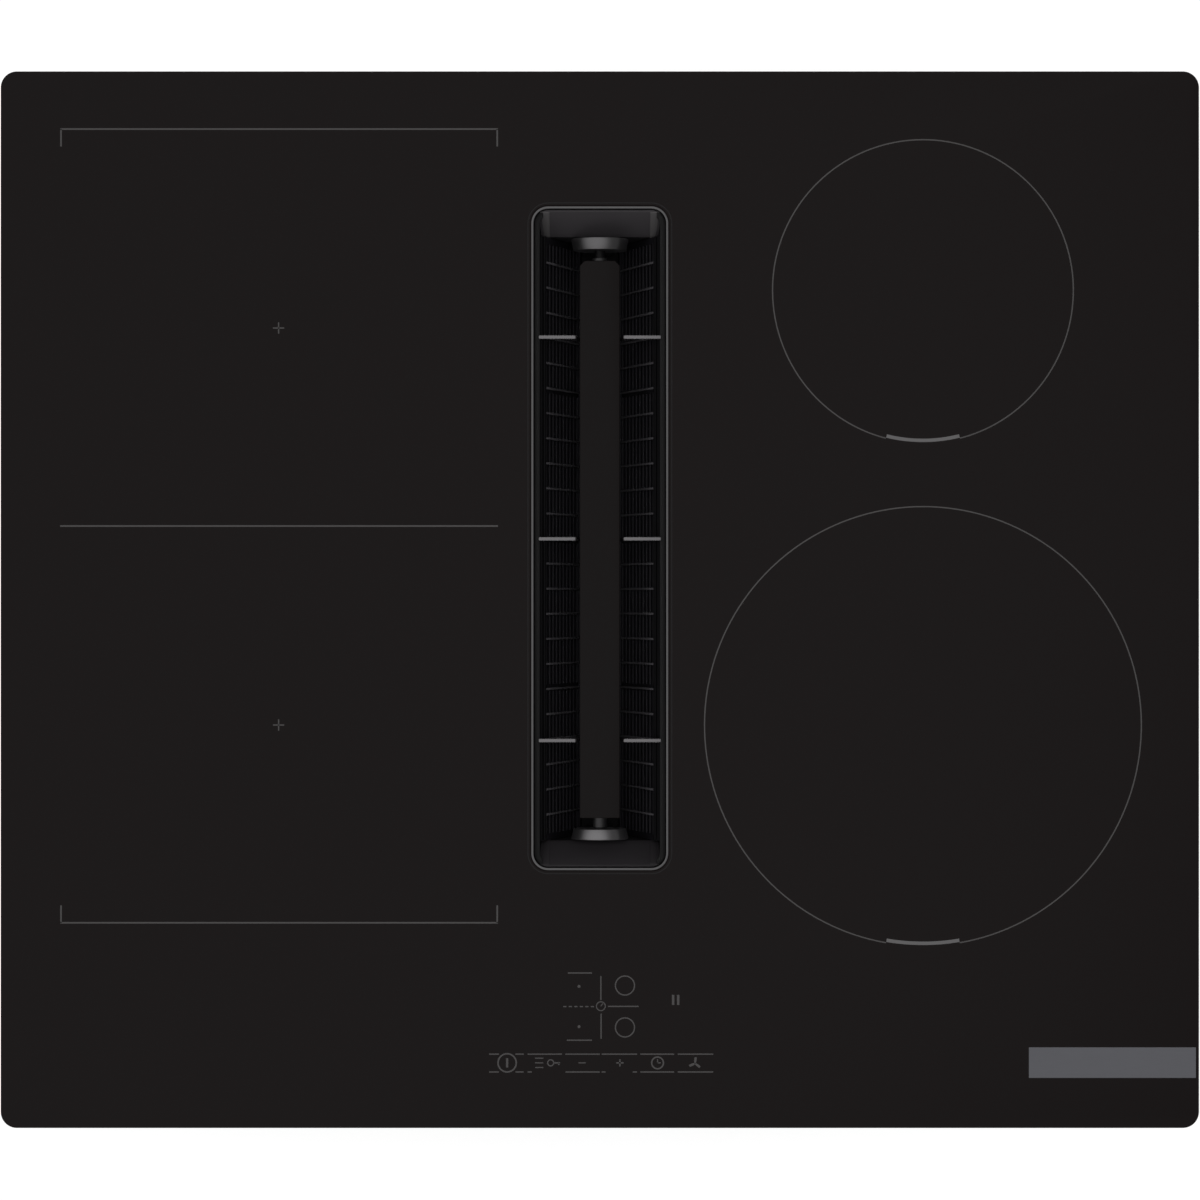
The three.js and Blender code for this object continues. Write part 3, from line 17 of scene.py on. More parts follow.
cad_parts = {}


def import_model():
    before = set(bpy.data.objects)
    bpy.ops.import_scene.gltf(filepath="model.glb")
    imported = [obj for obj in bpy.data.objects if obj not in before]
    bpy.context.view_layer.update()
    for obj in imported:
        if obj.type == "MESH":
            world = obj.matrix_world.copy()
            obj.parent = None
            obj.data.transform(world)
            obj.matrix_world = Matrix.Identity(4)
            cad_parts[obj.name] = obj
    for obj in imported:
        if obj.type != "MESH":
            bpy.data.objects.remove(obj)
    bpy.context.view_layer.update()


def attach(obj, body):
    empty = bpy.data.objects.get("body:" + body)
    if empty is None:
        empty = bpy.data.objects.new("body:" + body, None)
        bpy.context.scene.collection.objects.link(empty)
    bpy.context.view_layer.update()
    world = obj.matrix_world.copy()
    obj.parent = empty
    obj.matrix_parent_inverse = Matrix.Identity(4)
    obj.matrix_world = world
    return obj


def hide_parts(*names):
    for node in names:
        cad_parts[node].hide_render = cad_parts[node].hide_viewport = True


LOG = logging.getLogger("cooktop")
MM = 0.001

# Points closer than the first, in metres, are merged, and coordinates closer than the second are the same.
MERGE = 1e-6
SAME = 1e-7

Flat = tuple[float, float]
Spot = tuple[float, float, float]
Piece = bpy.types.Object


class Axis(Enum):
    """The direction that a profile is turned about or drawn out along."""

    X = "X"
    Y = "Y"
    Z = "Z"


class Texture(Enum):
    """The small-scale surface of a finish."""

    POLISHED = "polished"
    GRAIN = "grain"
    BRUSHED_X = "brushed along x"
    BRUSHED_Y = "brushed along y"
    BRUSHED_Z = "brushed along z"
    SPANGLE = "spangle"
    FOAM = "foam"
    STRANDS = "strands"
    TRACKS = "tracks"


# ---- Modelling ------------------------------------------------------------------------------------


def deselect() -> None:
    """Leaves edit mode and deselects every object."""
    if bpy.context.object is not None and bpy.context.object.mode != "OBJECT":
        bpy.ops.object.mode_set(mode="OBJECT")
    bpy.ops.object.select_all(action="DESELECT")


def activate(piece: Piece) -> None:
    """Makes a piece the only one selected, and the active one.

    Args:
        piece: The piece.
    """
    deselect()
    piece.select_set(True)
    bpy.context.view_layer.objects.active = piece


def named(piece: Piece, name: str) -> Piece:
    """Names a piece and its mesh.

    Args:
        piece: The piece.
        name: Its name.

    Returns:
        The same piece.
    """
    piece.name = name
    piece.data.name = name
    return piece


def settle(name: str) -> Piece:
    """Names the active object and puts its place into its mesh.

    Args:
        name: The piece's name.

    Returns:
        The piece.
    """
    piece = bpy.context.object
    activate(piece)
    bpy.ops.object.transform_apply(location=True, rotation=True, scale=True)
    return named(piece, name)


def edit(piece: Piece, mode: str = "VERT", everything: bool = True) -> None:
    """Opens a piece in edit mode.

    Args:
        piece: The piece.
        mode: The select mode, VERT, EDGE or FACE.
        everything: Whether all of it is selected, or nothing.
    """
    activate(piece)
    bpy.ops.object.mode_set(mode="EDIT")
    bpy.ops.mesh.select_mode(type=mode)
    bpy.ops.mesh.select_all(action="SELECT" if everything else "DESELECT")


def pick_edges(piece: Piece, test: Callable[[Vector, Vector], bool]) -> None:
    """Opens a piece in edit mode with the edges selected whose two ends pass a test.

    Args:
        piece: The piece.
        test: Says of an edge's two ends, in metres, whether it is picked.
    """
    edit(piece, "EDGE", everything=False)
    bpy.ops.object.mode_set(mode="OBJECT")
    for edge in piece.data.edges:
        first, second = (piece.data.vertices[i].co for i in edge.vertices)
        edge.select = test(first, second)
    bpy.ops.object.mode_set(mode="EDIT")


def pick_faces(piece: Piece, test: Callable[[Vector, Vector], bool]) -> None:
    """Opens a piece in edit mode with the faces selected whose centre and normal pass a test.

    Args:
        piece: The piece.
        test: Says of a face's centre, in metres, and normal whether it is picked.
    """
    edit(piece, "FACE", everything=False)
    bpy.ops.object.mode_set(mode="OBJECT")
    for face in piece.data.polygons:
        face.select = test(face.center, face.normal)
    bpy.ops.object.mode_set(mode="EDIT")


def done() -> None:
    """Leaves edit mode."""
    bpy.ops.object.mode_set(mode="OBJECT")


def tidy(piece: Piece) -> Piece:
    """Merges doubled points and turns all faces outwards.

    Args:
        piece: The piece.

    Returns:
        The same piece.
    """
    edit(piece)
    bpy.ops.mesh.remove_doubles(threshold=MERGE)
    bpy.ops.mesh.normals_make_consistent(inside=False)
    done()
    return piece


def block(name: str, low: Spot, high: Spot) -> Piece:
    """A plain block between two corners, a start for shaping.

    Args:
        name: Its name.
        low: Its lowest corner.
        high: Its highest corner.

    Returns:
        The block.
    """
    deselect()
    middle = [(a + b) / 2 * MM for a, b in zip(low, high)]
    size = [(b - a) * MM for a, b in zip(low, high)]
    bpy.ops.mesh.primitive_cube_add(size=1, location=middle, scale=size)
    return settle(name)


def slab(
    name: str,
    centre: Flat,
    size: Flat,
    corner: float,
    low: float,
    high: float,
    steps: int = 8,
) -> Piece:
    """A flat slab with rounded upright corners.

    Args:
        name: Its name.
        centre: Its middle in x and y.
        size: Its width and depth.
        corner: The corners' radius.
        low: Its underside.
        high: Its top.
        steps: Facets in a corner.

    Returns:
        The slab.
    """
    half = (size[0] / 2, size[1] / 2)
    first = (centre[0] - half[0], centre[1] - half[1], low)
    piece = block(name, first, (centre[0] + half[0], centre[1] + half[1], high))
    pick_edges(piece, lambda a, b: math.hypot(a.x - b.x, a.y - b.y) < SAME)
    bpy.ops.mesh.bevel(offset=corner * MM, segments=steps, affect="EDGES")
    done()
    return piece


def prism(name: str, outline: Sequence[Flat], low: float, high: float, axis: Axis = Axis.Z) -> Piece:
    """An outline drawn out along an axis. It is in x, y along Z, in x, z along Y, in y, z along X.

    Args:
        name: Its name.
        outline: The outline's points in order.
        low: Where it starts on the axis.
        high: Where it ends.
        axis: The axis.

    Returns:
        The prism.
    """
    places: dict[Axis, Callable[[float, float], Spot]] = {
        Axis.X: lambda a, b: (low, a, b),
        Axis.Y: lambda a, b: (a, low, b),
        Axis.Z: lambda a, b: (a, b, low),
    }
    way = {Axis.X: (1, 0, 0), Axis.Y: (0, 1, 0), Axis.Z: (0, 0, 1)}[axis]
    deselect()
    bpy.ops.mesh.primitive_circle_add(vertices=len(outline), radius=1, fill_type="NGON")
    piece = settle(name)
    for vertex, (a, b) in zip(piece.data.vertices, outline):
        vertex.co = Vector(places[axis](a, b)) * MM
    edit(piece)
    step = [(high - low) * MM * part for part in way]
    bpy.ops.mesh.extrude_region_move(TRANSFORM_OT_translate={"value": step})
    done()
    return tidy(piece)


def turned(
    name: str,
    profile: Sequence[Flat],
    at: Spot = (0, 0, 0),
    axis: Axis = Axis.Z,
    steps: int = 48,
) -> Piece:
    """A profile turned about an axis. A profile that ends where it starts makes a ring, another is capped.

    Args:
        name: Its name.
        profile: Points of radius and place along the axis.
        at: A point that the axis passes through, where the profile's places count from.
        axis: The axis.
        steps: Facets in a full turn.

    Returns:
        The turned piece.
    """
    deselect()
    radius, height = profile[0]
    bpy.ops.mesh.primitive_circle_add(
        vertices=steps, radius=radius * MM, location=(0, 0, height * MM), fill_type="NOTHING"
    )
    piece = settle(name)
    edit(piece)
    for (r0, h0), (r1, h1) in zip(profile, profile[1:]):
        bpy.ops.mesh.extrude_region_move(TRANSFORM_OT_translate={"value": (0, 0, (h1 - h0) * MM)})
        bpy.ops.transform.resize(value=(r1 / r0, r1 / r0, 1), center_override=(0, 0, 0))
    bpy.ops.mesh.select_all(action="SELECT")
    bpy.ops.mesh.remove_doubles(threshold=MERGE)
    bpy.ops.mesh.fill_holes(sides=0)
    done()
    lay = {
        Axis.Z: Matrix.Identity(4),
        Axis.Y: Matrix.Rotation(-math.pi / 2, 4, "X"),
        Axis.X: Matrix.Rotation(math.pi / 2, 4, "Y"),
    }
    piece.data.transform(Matrix.Translation(Vector(at) * MM) @ lay[axis])
    return tidy(piece)


def rod(
    name: str,
    radius: float,
    low: float,
    high: float,
    at: Spot = (0, 0, 0),
    axis: Axis = Axis.Z,
    steps: int = 48,
) -> Piece:
    """A plain round rod.

    Args:
        name: Its name.
        radius: Its radius.
        low: Where it starts, counted along the axis from the point.
        high: Where it ends.
        at: A point that the axis passes through.
        axis: The axis.
        steps: Facets in the turn.

    Returns:
        The rod.
    """
    return turned(name, [(radius, low), (radius, high)], at, axis, steps)


def band(inner: float, outer: float, low: float, high: float) -> list[Flat]:
    """The closed section of a flat ring, as radius and place along the axis."""
    return [(inner, low), (outer, low), (outer, high), (inner, high), (inner, low)]


def mirrored(points: Sequence[Flat]) -> list[Flat]:
    """The points on the other side of x 0, in the order that carries an outline on."""
    return [(-x, y) for x, y in reversed(points)]


def change(piece: Piece, kind: str, **settings: Any) -> Piece:
    """Adds a modifier to a piece and applies it.

    Args:
        piece: The piece.
        kind: The modifier's type.
        **settings: The modifier's settings.

    Returns:
        The same piece.
    """
    activate(piece)
    modifier = piece.modifiers.new(kind.lower(), kind)
    for key, value in settings.items():
        setattr(modifier, key, value)
    bpy.ops.object.modifier_apply(modifier=modifier.name)
    return piece


def cut(piece: Piece, *tools: Piece) -> Piece:
    """Cuts other pieces out of a piece and removes them.

    Args:
        piece: The piece.
        *tools: What is cut out of it.

    Returns:
        The same piece.
    """
    return combine(piece, "DIFFERENCE", *tools)


def combine(piece: Piece, operation: str, *tools: Piece) -> Piece:
    """Combines pieces into one closed piece.

    Args:
        piece: The piece that is kept.
        operation: DIFFERENCE, UNION or INTERSECT.
        *tools: The other pieces, which are removed.

    Returns:
        The same piece.
    """
    for tool in tools:
        change(piece, "BOOLEAN", operation=operation, object=tool, solver="EXACT")
        bpy.data.objects.remove(tool)
    return piece


def soften(piece: Piece, width: float, segments: int = 2, angle: float = 35) -> Piece:
    """Rounds a piece's sharp edges and shades it smooth.

    Args:
        piece: The piece.
        width: The rounding's width.
        segments: Facets across it.
        angle: Edges sharper than this many degrees are rounded.

    Returns:
        The same piece.
    """
    change(
        piece,
        "BEVEL",
        width=width * MM,
        segments=segments,
        limit_method="ANGLE",
        angle_limit=math.radians(angle),
        use_clamp_overlap=True,
    )
    return smooth(piece)


def smooth(piece: Piece, angle: float = 32) -> Piece:
    """Shades a piece smooth across edges flatter than an angle.

    Args:
        piece: The piece.
        angle: The angle in degrees.

    Returns:
        The same piece.
    """
    activate(piece)
    bpy.ops.object.shade_smooth_by_angle(angle=math.radians(angle))
    return piece


def join(name: str, *parts: Piece) -> Piece:
    """Joins parts into one piece.

    Args:
        name: The piece's name.
        *parts: Its parts.

    Returns:
        The piece.
    """
    deselect()
    for part in parts:
        part.select_set(True)
    bpy.context.view_layer.objects.active = parts[0]
    bpy.ops.object.join()
    return named(bpy.context.object, name)


def placed(piece: Piece, place: Matrix) -> Piece:
    """A copy of a piece, with its own mesh, at another place.

    Args:
        piece: The piece to copy.
        place: The move from the first one, in metres.

    Returns:
        The copy.
    """
    copy = piece.copy()
    copy.data = piece.data.copy()
    bpy.context.scene.collection.objects.link(copy)
    copy.data.transform(place)
    return copy


def repeated(name: str, piece: Piece, places: Sequence[Matrix]) -> Piece:
    """Joins copies of a piece at the given places, and removes the first one.

    Args:
        name: The joined piece's name.
        piece: What is copied.
        places: Where the copies go, as moves from the first one.

    Returns:
        The joined piece.
    """
    made = [placed(piece, place) for place in places]
    bpy.data.objects.remove(piece)
    return join(name, *made)


def about(x: float, y: float, degrees: float) -> Matrix:
    """A turn about an upright axis through a point.

    Args:
        x: The axis's x.
        y: The axis's y.
        degrees: The turn.

    Returns:
        The turn as a matrix in metres.
    """
    point = Vector((x, y, 0)) * MM
    turn = Matrix.Rotation(math.radians(degrees), 4, "Z")
    return Matrix.Translation(point) @ turn @ Matrix.Translation(-point)


def step(x: float = 0, y: float = 0, z: float = 0) -> Matrix:
    """A move as a matrix in metres, from millimetres."""
    return Matrix.Translation(Vector((x, y, z)) * MM)


# ---- Materials ------------------------------------------------------------------------------------


class Tree:
    """A node tree while it is built."""

    def __init__(self, tree: bpy.types.NodeTree) -> None:
        """Takes the tree to build in."""
        self.tree = tree

    def link(self, source: bpy.types.NodeSocket, target: bpy.types.NodeSocket) -> None:
        """Links an output socket to an input socket."""
        self.tree.links.new(source, target)

    def put(self, kind: str, inputs: dict[str | int, Any] | None = None, **settings: Any) -> bpy.types.Node:
        """Adds a node.

        Args:
            kind: The node's type.
            inputs: Values or output sockets, by input name or number.
            **settings: The node's own settings.

        Returns:
            The node.
        """
        node = self.tree.nodes.new(kind)
        for key, value in settings.items():
            setattr(node, key, value)
        for key, value in (inputs or {}).items():
            if isinstance(value, bpy.types.NodeSocket):
                self.link(value, node.inputs[key])
            else:
                node.inputs[key].default_value = value
        return node

    def group(self, tree: bpy.types.NodeTree, inputs: dict[str | int, Any]) -> bpy.types.Node:
        """Adds a shared group.

        Args:
            tree: The group's tree.
            inputs: Its values or sockets, by name.

        Returns:
            The group node.
        """
        return self.put("ShaderNodeGroup", inputs, node_tree=tree)

    def maths(self, operation: str, *values: Any) -> bpy.types.NodeSocket:
        """A Math node's result.

        Args:
            operation: The node's operation.
            *values: Its values or sockets.

        Returns:
            Its output socket.
        """
        return self.put("ShaderNodeMath", dict(enumerate(values)), operation=operation).outputs[0]


def new_group(
    name: str, takes: dict[str, Any], gives: dict[str, str]
) -> tuple[bpy.types.NodeTree, Tree, Any, Any]:
    """Starts a shared node group with named inputs and outputs.

    Args:
        name: The group's name.
        takes: Its inputs' usual values: a number, a colour of four or a vector of three.
        gives: Its outputs' socket types.

    Returns:
        The group, its builder, its input node and its output node.
    """
    group = bpy.data.node_groups.new(name, "ShaderNodeTree")
    for key, value in takes.items():
        length = len(value) if isinstance(value, tuple) else 1
        kind = {1: "NodeSocketFloat", 3: "NodeSocketVector", 4: "NodeSocketColor"}[length]
        socket = group.interface.new_socket(key, in_out="INPUT", socket_type=kind)
        socket.default_value = value
    for key, kind in gives.items():
        group.interface.new_socket(key, in_out="OUTPUT", socket_type=kind)
    builder = Tree(group)
    return group, builder, builder.put("NodeGroupInput"), builder.put("NodeGroupOutput")


DUST_COLOUR = (0.32, 0.31, 0.29, 1)

# Rings of a Wave texture in one unit of its scale.
WAVE_RINGS = 20

# The scale of a brushed texture along its marks, against 1 across them.
BRUSH_STRETCH = 0.012


@dataclass
class Effects:
    """The effects that several finishes share, each built once."""

    groups: dict[str, bpy.types.NodeTree] = field(default_factory=dict)

    def tone(self) -> bpy.types.NodeTree:
        """Slow and fine changes of tone and gloss over a surface.

        Returns:
            The shared group.
        """
        if "tone" not in self.groups:
            takes = {"Vector": (0, 0, 0), "Colour": (1, 1, 1, 1), "Spread": 0.2, "Patch": 12.0, "Gloss": 0.4}
            gives = {"Colour": "NodeSocketColor", "Roughness": "NodeSocketFloat"}
            group, tree, taken, given = new_group("tone", takes, gives)
            slow = {"Vector": taken.outputs["Vector"], "Scale": taken.outputs["Patch"], "Detail": 4.0}
            cloud = tree.put("ShaderNodeTexNoise", slow).outputs["Fac"]
            fine_scale = tree.maths("MULTIPLY", taken.outputs["Patch"], 14.0)
            fine = {"Vector": taken.outputs["Vector"], "Scale": fine_scale, "Detail": 3.0}
            speck = tree.put("ShaderNodeTexNoise", fine).outputs["Fac"]
            mixed = tree.maths("MULTIPLY_ADD", speck, 0.35, tree.maths("MULTIPLY", cloud, 0.65))
            swing = tree.maths("SUBTRACT", mixed, 0.5)
            double = tree.maths("MULTIPLY", taken.outputs["Spread"], 2.0)
            factor = tree.maths("MULTIPLY_ADD", swing, double, 1.0)
            colour = tree.put(
                "ShaderNodeVectorMath", {0: taken.outputs["Colour"], 3: factor}, operation="SCALE"
            ).outputs[0]
            gloss = tree.maths("MULTIPLY", taken.outputs["Gloss"], factor)
            tree.link(colour, given.inputs["Colour"])
            tree.link(gloss, given.inputs["Roughness"])
            self.groups["tone"] = group
        return self.groups["tone"]

    def dust(self) -> bpy.types.NodeTree:
        """A thin uneven film of dust on faces that look up.

        Returns:
            The shared group.
        """
        if "dust" not in self.groups:
            takes = {"Vector": (0, 0, 0), "Colour": (1, 1, 1, 1), "Amount": 0.1, "Roughness": 0.5}
            gives = {"Colour": "NodeSocketColor", "Roughness": "NodeSocketFloat"}
            group, tree, taken, given = new_group("dust", takes, gives)
            normal = tree.put("ShaderNodeNewGeometry").outputs["Normal"]
            up = tree.put("ShaderNodeSeparateXYZ", {0: normal}).outputs["Z"]
            noise = {"Vector": taken.outputs["Vector"], "Scale": 90.0, "Detail": 6.0}
            patchy = tree.put("ShaderNodeTexNoise", noise).outputs["Fac"]
            raised = tree.maths("MAXIMUM", up, 0.0)
            film = tree.maths("MULTIPLY", tree.maths("MULTIPLY", raised, patchy), taken.outputs["Amount"])
            colours = {0: film, 6: taken.outputs["Colour"], 7: DUST_COLOUR}
            mix = tree.put("ShaderNodeMix", colours, data_type="RGBA")
            gloss = tree.maths("MULTIPLY_ADD", film, 0.4, taken.outputs["Roughness"])
            tree.link(mix.outputs[2], given.inputs["Colour"])
            tree.link(gloss, given.inputs["Roughness"])
            self.groups["dust"] = group
        return self.groups["dust"]

    def brushing(self) -> bpy.types.NodeTree:
        """Fine parallel scratches along one axis, from a stretched noise.

        Returns:
            The shared group.
        """
        if "brushing" not in self.groups:
            takes = {"Vector": (0, 0, 0), "Stretch": (1.0, 1.0, 1.0), "Scale": 3000.0}
            group, tree, taken, given = new_group("brushing", takes, {"Height": "NodeSocketFloat"})
            drawn = tree.put(
                "ShaderNodeVectorMath",
                {0: taken.outputs["Vector"], 1: taken.outputs["Stretch"]},
                operation="MULTIPLY",
            ).outputs[0]
            lines = {"Vector": drawn, "Scale": taken.outputs["Scale"], "Detail": 2.0}
            noise = tree.put("ShaderNodeTexNoise", lines).outputs["Fac"]
            tree.link(noise, given.inputs["Height"])
            self.groups["brushing"] = group
        return self.groups["brushing"]

    def pebble(self) -> bpy.types.NodeTree:
        """The fine pebbled skin of moulded plastic and foam.

        Returns:
            The shared group.
        """
        if "pebble" not in self.groups:
            takes = {"Vector": (0, 0, 0), "Scale": 1500.0}
            group, tree, taken, given = new_group("pebble", takes, {"Height": "NodeSocketFloat"})
            same = {"Vector": taken.outputs["Vector"], "Scale": taken.outputs["Scale"]}
            cells = tree.put("ShaderNodeTexVoronoi", same, feature="SMOOTH_F1").outputs["Distance"]
            noise = tree.put("ShaderNodeTexNoise", same).outputs["Fac"]
            height = tree.maths("ADD", tree.maths("MULTIPLY", cells, 0.7), tree.maths("MULTIPLY", noise, 0.3))
            tree.link(height, given.inputs["Height"])
            self.groups["pebble"] = group
        return self.groups["pebble"]


EFFECTS = Effects()


@dataclass(frozen=True)
class Finish:
    """One finish, as a painter or plater would order it. Its texture size and relief are in mm."""

    name: str
    colour: tuple[float, float, float]
    roughness: float
    metallic: float = 0.0
    texture: Texture = Texture.GRAIN
    texture_size: float = 0.6
    relief: float = 0.02
    spread: float = 0.12
    patch: float = 14.0
    dust: float = 0.0
    specular: float = 0.5
    centre: Flat = (0, 0)
    squeeze: float = 1.0

    def height(self, tree: Tree, place: bpy.types.NodeSocket) -> bpy.types.NodeSocket | None:
        """Builds the small-scale relief of this finish.

        Args:
            tree: The material's tree.
            place: The place on the piece.

        Returns:
            The height socket, or None for a polished face.
        """
        scale = 1 / (self.texture_size * MM)
        stretches = {
            Texture.BRUSHED_X: (BRUSH_STRETCH, 1.0, 1.0),
            Texture.BRUSHED_Y: (1.0, BRUSH_STRETCH, 1.0),
            Texture.BRUSHED_Z: (1.0, 1.0, BRUSH_STRETCH),
        }
        if self.texture in stretches:
            inputs = {"Vector": place, "Stretch": stretches[self.texture], "Scale": scale}
            return tree.group(EFFECTS.brushing(), inputs).outputs["Height"]
        if self.texture in (Texture.GRAIN, Texture.FOAM):
            return tree.group(EFFECTS.pebble(), {"Vector": place, "Scale": scale}).outputs["Height"]
        if self.texture is Texture.SPANGLE:
            inputs = {"Vector": place, "Scale": scale}
            flakes = tree.put("ShaderNodeTexVoronoi", inputs, feature="F1").outputs["Color"]
            return tree.put("ShaderNodeSeparateColor", {0: flakes}).outputs[0]
        if self.texture is Texture.STRANDS:
            offset = Vector((-self.centre[0], -self.centre[1] / self.squeeze, 0)) * MM
            inputs = {"Vector": place, "Location": offset, "Scale": (1, 1 / self.squeeze, 0)}
            centred = tree.put("ShaderNodeMapping", inputs).outputs[0]
            waves = {"Vector": centred, "Scale": scale / WAVE_RINGS, "Distortion": 0.4, "Detail Scale": 2.0}
            return tree.put("ShaderNodeTexWave", waves, wave_type="RINGS", rings_direction="Z").outputs["Fac"]
        if self.texture is Texture.TRACKS:
            inputs = {"Vector": place, "Scale": scale}
            tracks = tree.put("ShaderNodeTexVoronoi", inputs, distance="MANHATTAN", feature="F2")
            return tracks.outputs["Distance"]
        return None

    def tint(self, tree: Tree, height: bpy.types.NodeSocket | None) -> Any:
        """The finish's colour, with the marks that its texture leaves in it.

        Args:
            tree: The material's tree.
            height: The relief.

        Returns:
            A colour, or the socket of one.
        """
        base = (*self.colour, 1.0)
        if height is None or self.texture in (Texture.GRAIN, Texture.POLISHED):
            return base
        depths = {Texture.SPANGLE: 0.88, Texture.STRANDS: 0.45, Texture.TRACKS: 0.5, Texture.FOAM: 0.6}
        deep = depths.get(self.texture, 0.9)
        darker = (*(c * deep for c in self.colour), 1)
        lighter = (*(min(c * (2 - deep), 1) for c in self.colour), 1)
        return tree.put("ShaderNodeMix", {0: height, 6: darker, 7: lighter}, data_type="RGBA").outputs[2]

    def material(self) -> bpy.types.Material:
        """Builds the finish's material, or finds the one already built.

        Returns:
            The material.
        """
        found = bpy.data.materials.get(self.name)
        if found is not None:
            return found
        made = bpy.data.materials.new(self.name)
        made.use_nodes = True
        tree = Tree(made.node_tree)
        shader = made.node_tree.nodes["Principled BSDF"]
        place = tree.put("ShaderNodeTexCoord").outputs["Object"]
        height = self.height(tree, place)
        inputs = {
            "Vector": place,
            "Colour": self.tint(tree, height),
            "Spread": self.spread,
            "Patch": self.patch,
            "Gloss": self.roughness,
        }
        surface = tree.group(EFFECTS.tone(), inputs)
        if self.dust > 0:
            inputs = {
                "Vector": place,
                "Colour": surface.outputs["Colour"],
                "Amount": self.dust,
                "Roughness": surface.outputs["Roughness"],
            }
            surface = tree.group(EFFECTS.dust(), inputs)
        tree.link(surface.outputs["Colour"], shader.inputs["Base Color"])
        tree.link(surface.outputs["Roughness"], shader.inputs["Roughness"])
        shader.inputs["Metallic"].default_value = self.metallic
        shader.inputs["Specular IOR Level"].default_value = self.specular
        if height is not None and self.relief > 0:
            inputs = {"Height": height, "Distance": self.relief * MM, "Strength": 1.0}
            bump = tree.put("ShaderNodeBump", inputs)
            tree.link(bump.outputs["Normal"], shader.inputs["Normal"])
        return made

    def dress(self, piece: Piece) -> Piece:
        """Gives a piece this finish all over.

        Args:
            piece: The piece.

        Returns:
            The same piece.
        """
        piece.data.materials.clear()
        piece.data.materials.append(self.material())
        return piece


# Colours are linear.
GLASS = Finish(
    "black glass-ceramic", (0.0031, 0.0012, 0.0012), 0.05, texture=Texture.POLISHED, spread=0.05, patch=20
)
INK = Finish("grey screen print", (0.066, 0.063, 0.063), 0.45, texture_size=0.25, relief=0.004, spread=0.05)
# Painted highlight: a lighter line round the slot that stands in for the glint on the glass's bevelled edge.
BEVEL_GLINT_PAINT = replace(INK, name="painted bevel highlight", colour=(0.0115, 0.011, 0.0115))
BRIGHT_INK = replace(INK, name="white screen print", colour=(0.12, 0.117, 0.119))
PLATE = Finish("bare satin plate", (0.124, 0.125, 0.138), 0.5, 0.2, Texture.BRUSHED_X, 0.12, 0.004, 0.05)
TRIM = Finish("satin steel trim", (0.4, 0.392, 0.4), 0.25, 1.0, Texture.BRUSHED_Y, 0.1, 0.003, 0.06)
RIB = Finish("satin steel ribs", (0.6, 0.58, 0.6), 0.27, 1.0, Texture.BRUSHED_X, 0.1, 0.003, 0.06)
BOSS = Finish("turned steel boss", (0.51, 0.498, 0.51), 0.36, 1.0, Texture.BRUSHED_X, 0.1, 0.002, 0.05)
# Painted light: the front boss takes a brighter copy of the boss steel, for the brighter light on it.
LIT_BOSS_PAINT = replace(BOSS, name="bright turned steel boss", colour=(0.68, 0.665, 0.68), roughness=0.35)
COLLAR = Finish("blasted steel collars", (0.3, 0.295, 0.3), 0.5, 1.0, Texture.GRAIN, 0.3, 0.004, 0.05)
BAR = Finish("gloss black bar", (0.002, 0.0007, 0.0007), 0.07, texture=Texture.POLISHED, spread=0.05)
SLATS = Finish(
    "black coated slats", (0.0092, 0.0085, 0.0105), 0.42, 0.0, Texture.BRUSHED_Y, 0.14, 0.004, 0.16
)
RIMS = Finish("dull black rims", (0.004, 0.0038, 0.0044), 0.62, texture_size=0.4, relief=0.01, specular=0.16)
RUNGS = Finish("grey coated rungs", (0.085, 0.081, 0.088), 0.4, 0.0, Texture.BRUSHED_Z, 0.14, 0.004, 0.12)
CASSETTE = Finish("black moulded cassette", (0.0045, 0.0043, 0.0046), 0.42, texture_size=0.5, relief=0.012)
APRON = Finish(
    "dark grey moulded apron", (0.041, 0.0378, 0.041), 0.5, texture_size=0.5, relief=0.008, spread=0.06
)
# Painted shade: the front end wall and its corner strips take a darker copy of the apron, for the less light
# that falls on them.
SHADED_APRON_PAINT = replace(APRON, name="apron painted darker for shade", colour=(0.0232, 0.0209, 0.0232))
# Painted light: the rear corner strips are lighter than the apron, for the light on the corner facets.
LIT_STRIP_PAINT = replace(APRON, name="strips painted lighter for light", colour=(0.072, 0.069, 0.0702), roughness=0.45)
HOUSING = Finish("grey moulded housing", (0.05, 0.051, 0.054), 0.5, texture_size=0.7, relief=0.02, dust=0.05)
CONTAINER = Finish(
    "black moulded container", (0.022, 0.0222, 0.0235), 0.4, texture_size=0.6, relief=0.014, dust=0.04
)
SHEET = Finish("zinc-coated sheet", (0.3, 0.306, 0.314), 0.42, 1.0, Texture.SPANGLE, 5.0, 0.0, 0.1, 9)
SPRING = Finish("spring steel", (0.42, 0.424, 0.43), 0.3, 1.0, Texture.BRUSHED_Y, 0.12, 0.003, 0.08)
SCREW = Finish("zinc-plated screws", (0.5, 0.49, 0.46), 0.3, 1.0, Texture.GRAIN, 0.2, 0.003, 0.1)
MOTOR = Finish("painted motor", (0.09, 0.09, 0.094), 0.42, 0.2, texture_size=0.5, relief=0.01)
SEAL = Finish("closed-cell foam", (0.012, 0.012, 0.012), 0.85, 0.0, Texture.FOAM, 0.8, 0.08, 0.2)
ALUMINIUM = Finish("bare aluminium", (0.68, 0.69, 0.7), 0.34, 1.0, Texture.BRUSHED_X, 0.2, 0.004, 0.06)
BOARD = Finish("circuit board", (0.01, 0.09, 0.04), 0.4, 0.0, Texture.TRACKS, 5.0, 0.03, 0.1)
CERAMIC = Finish("sensor ceramic", (0.72, 0.7, 0.65), 0.55, texture_size=0.4, relief=0.01)
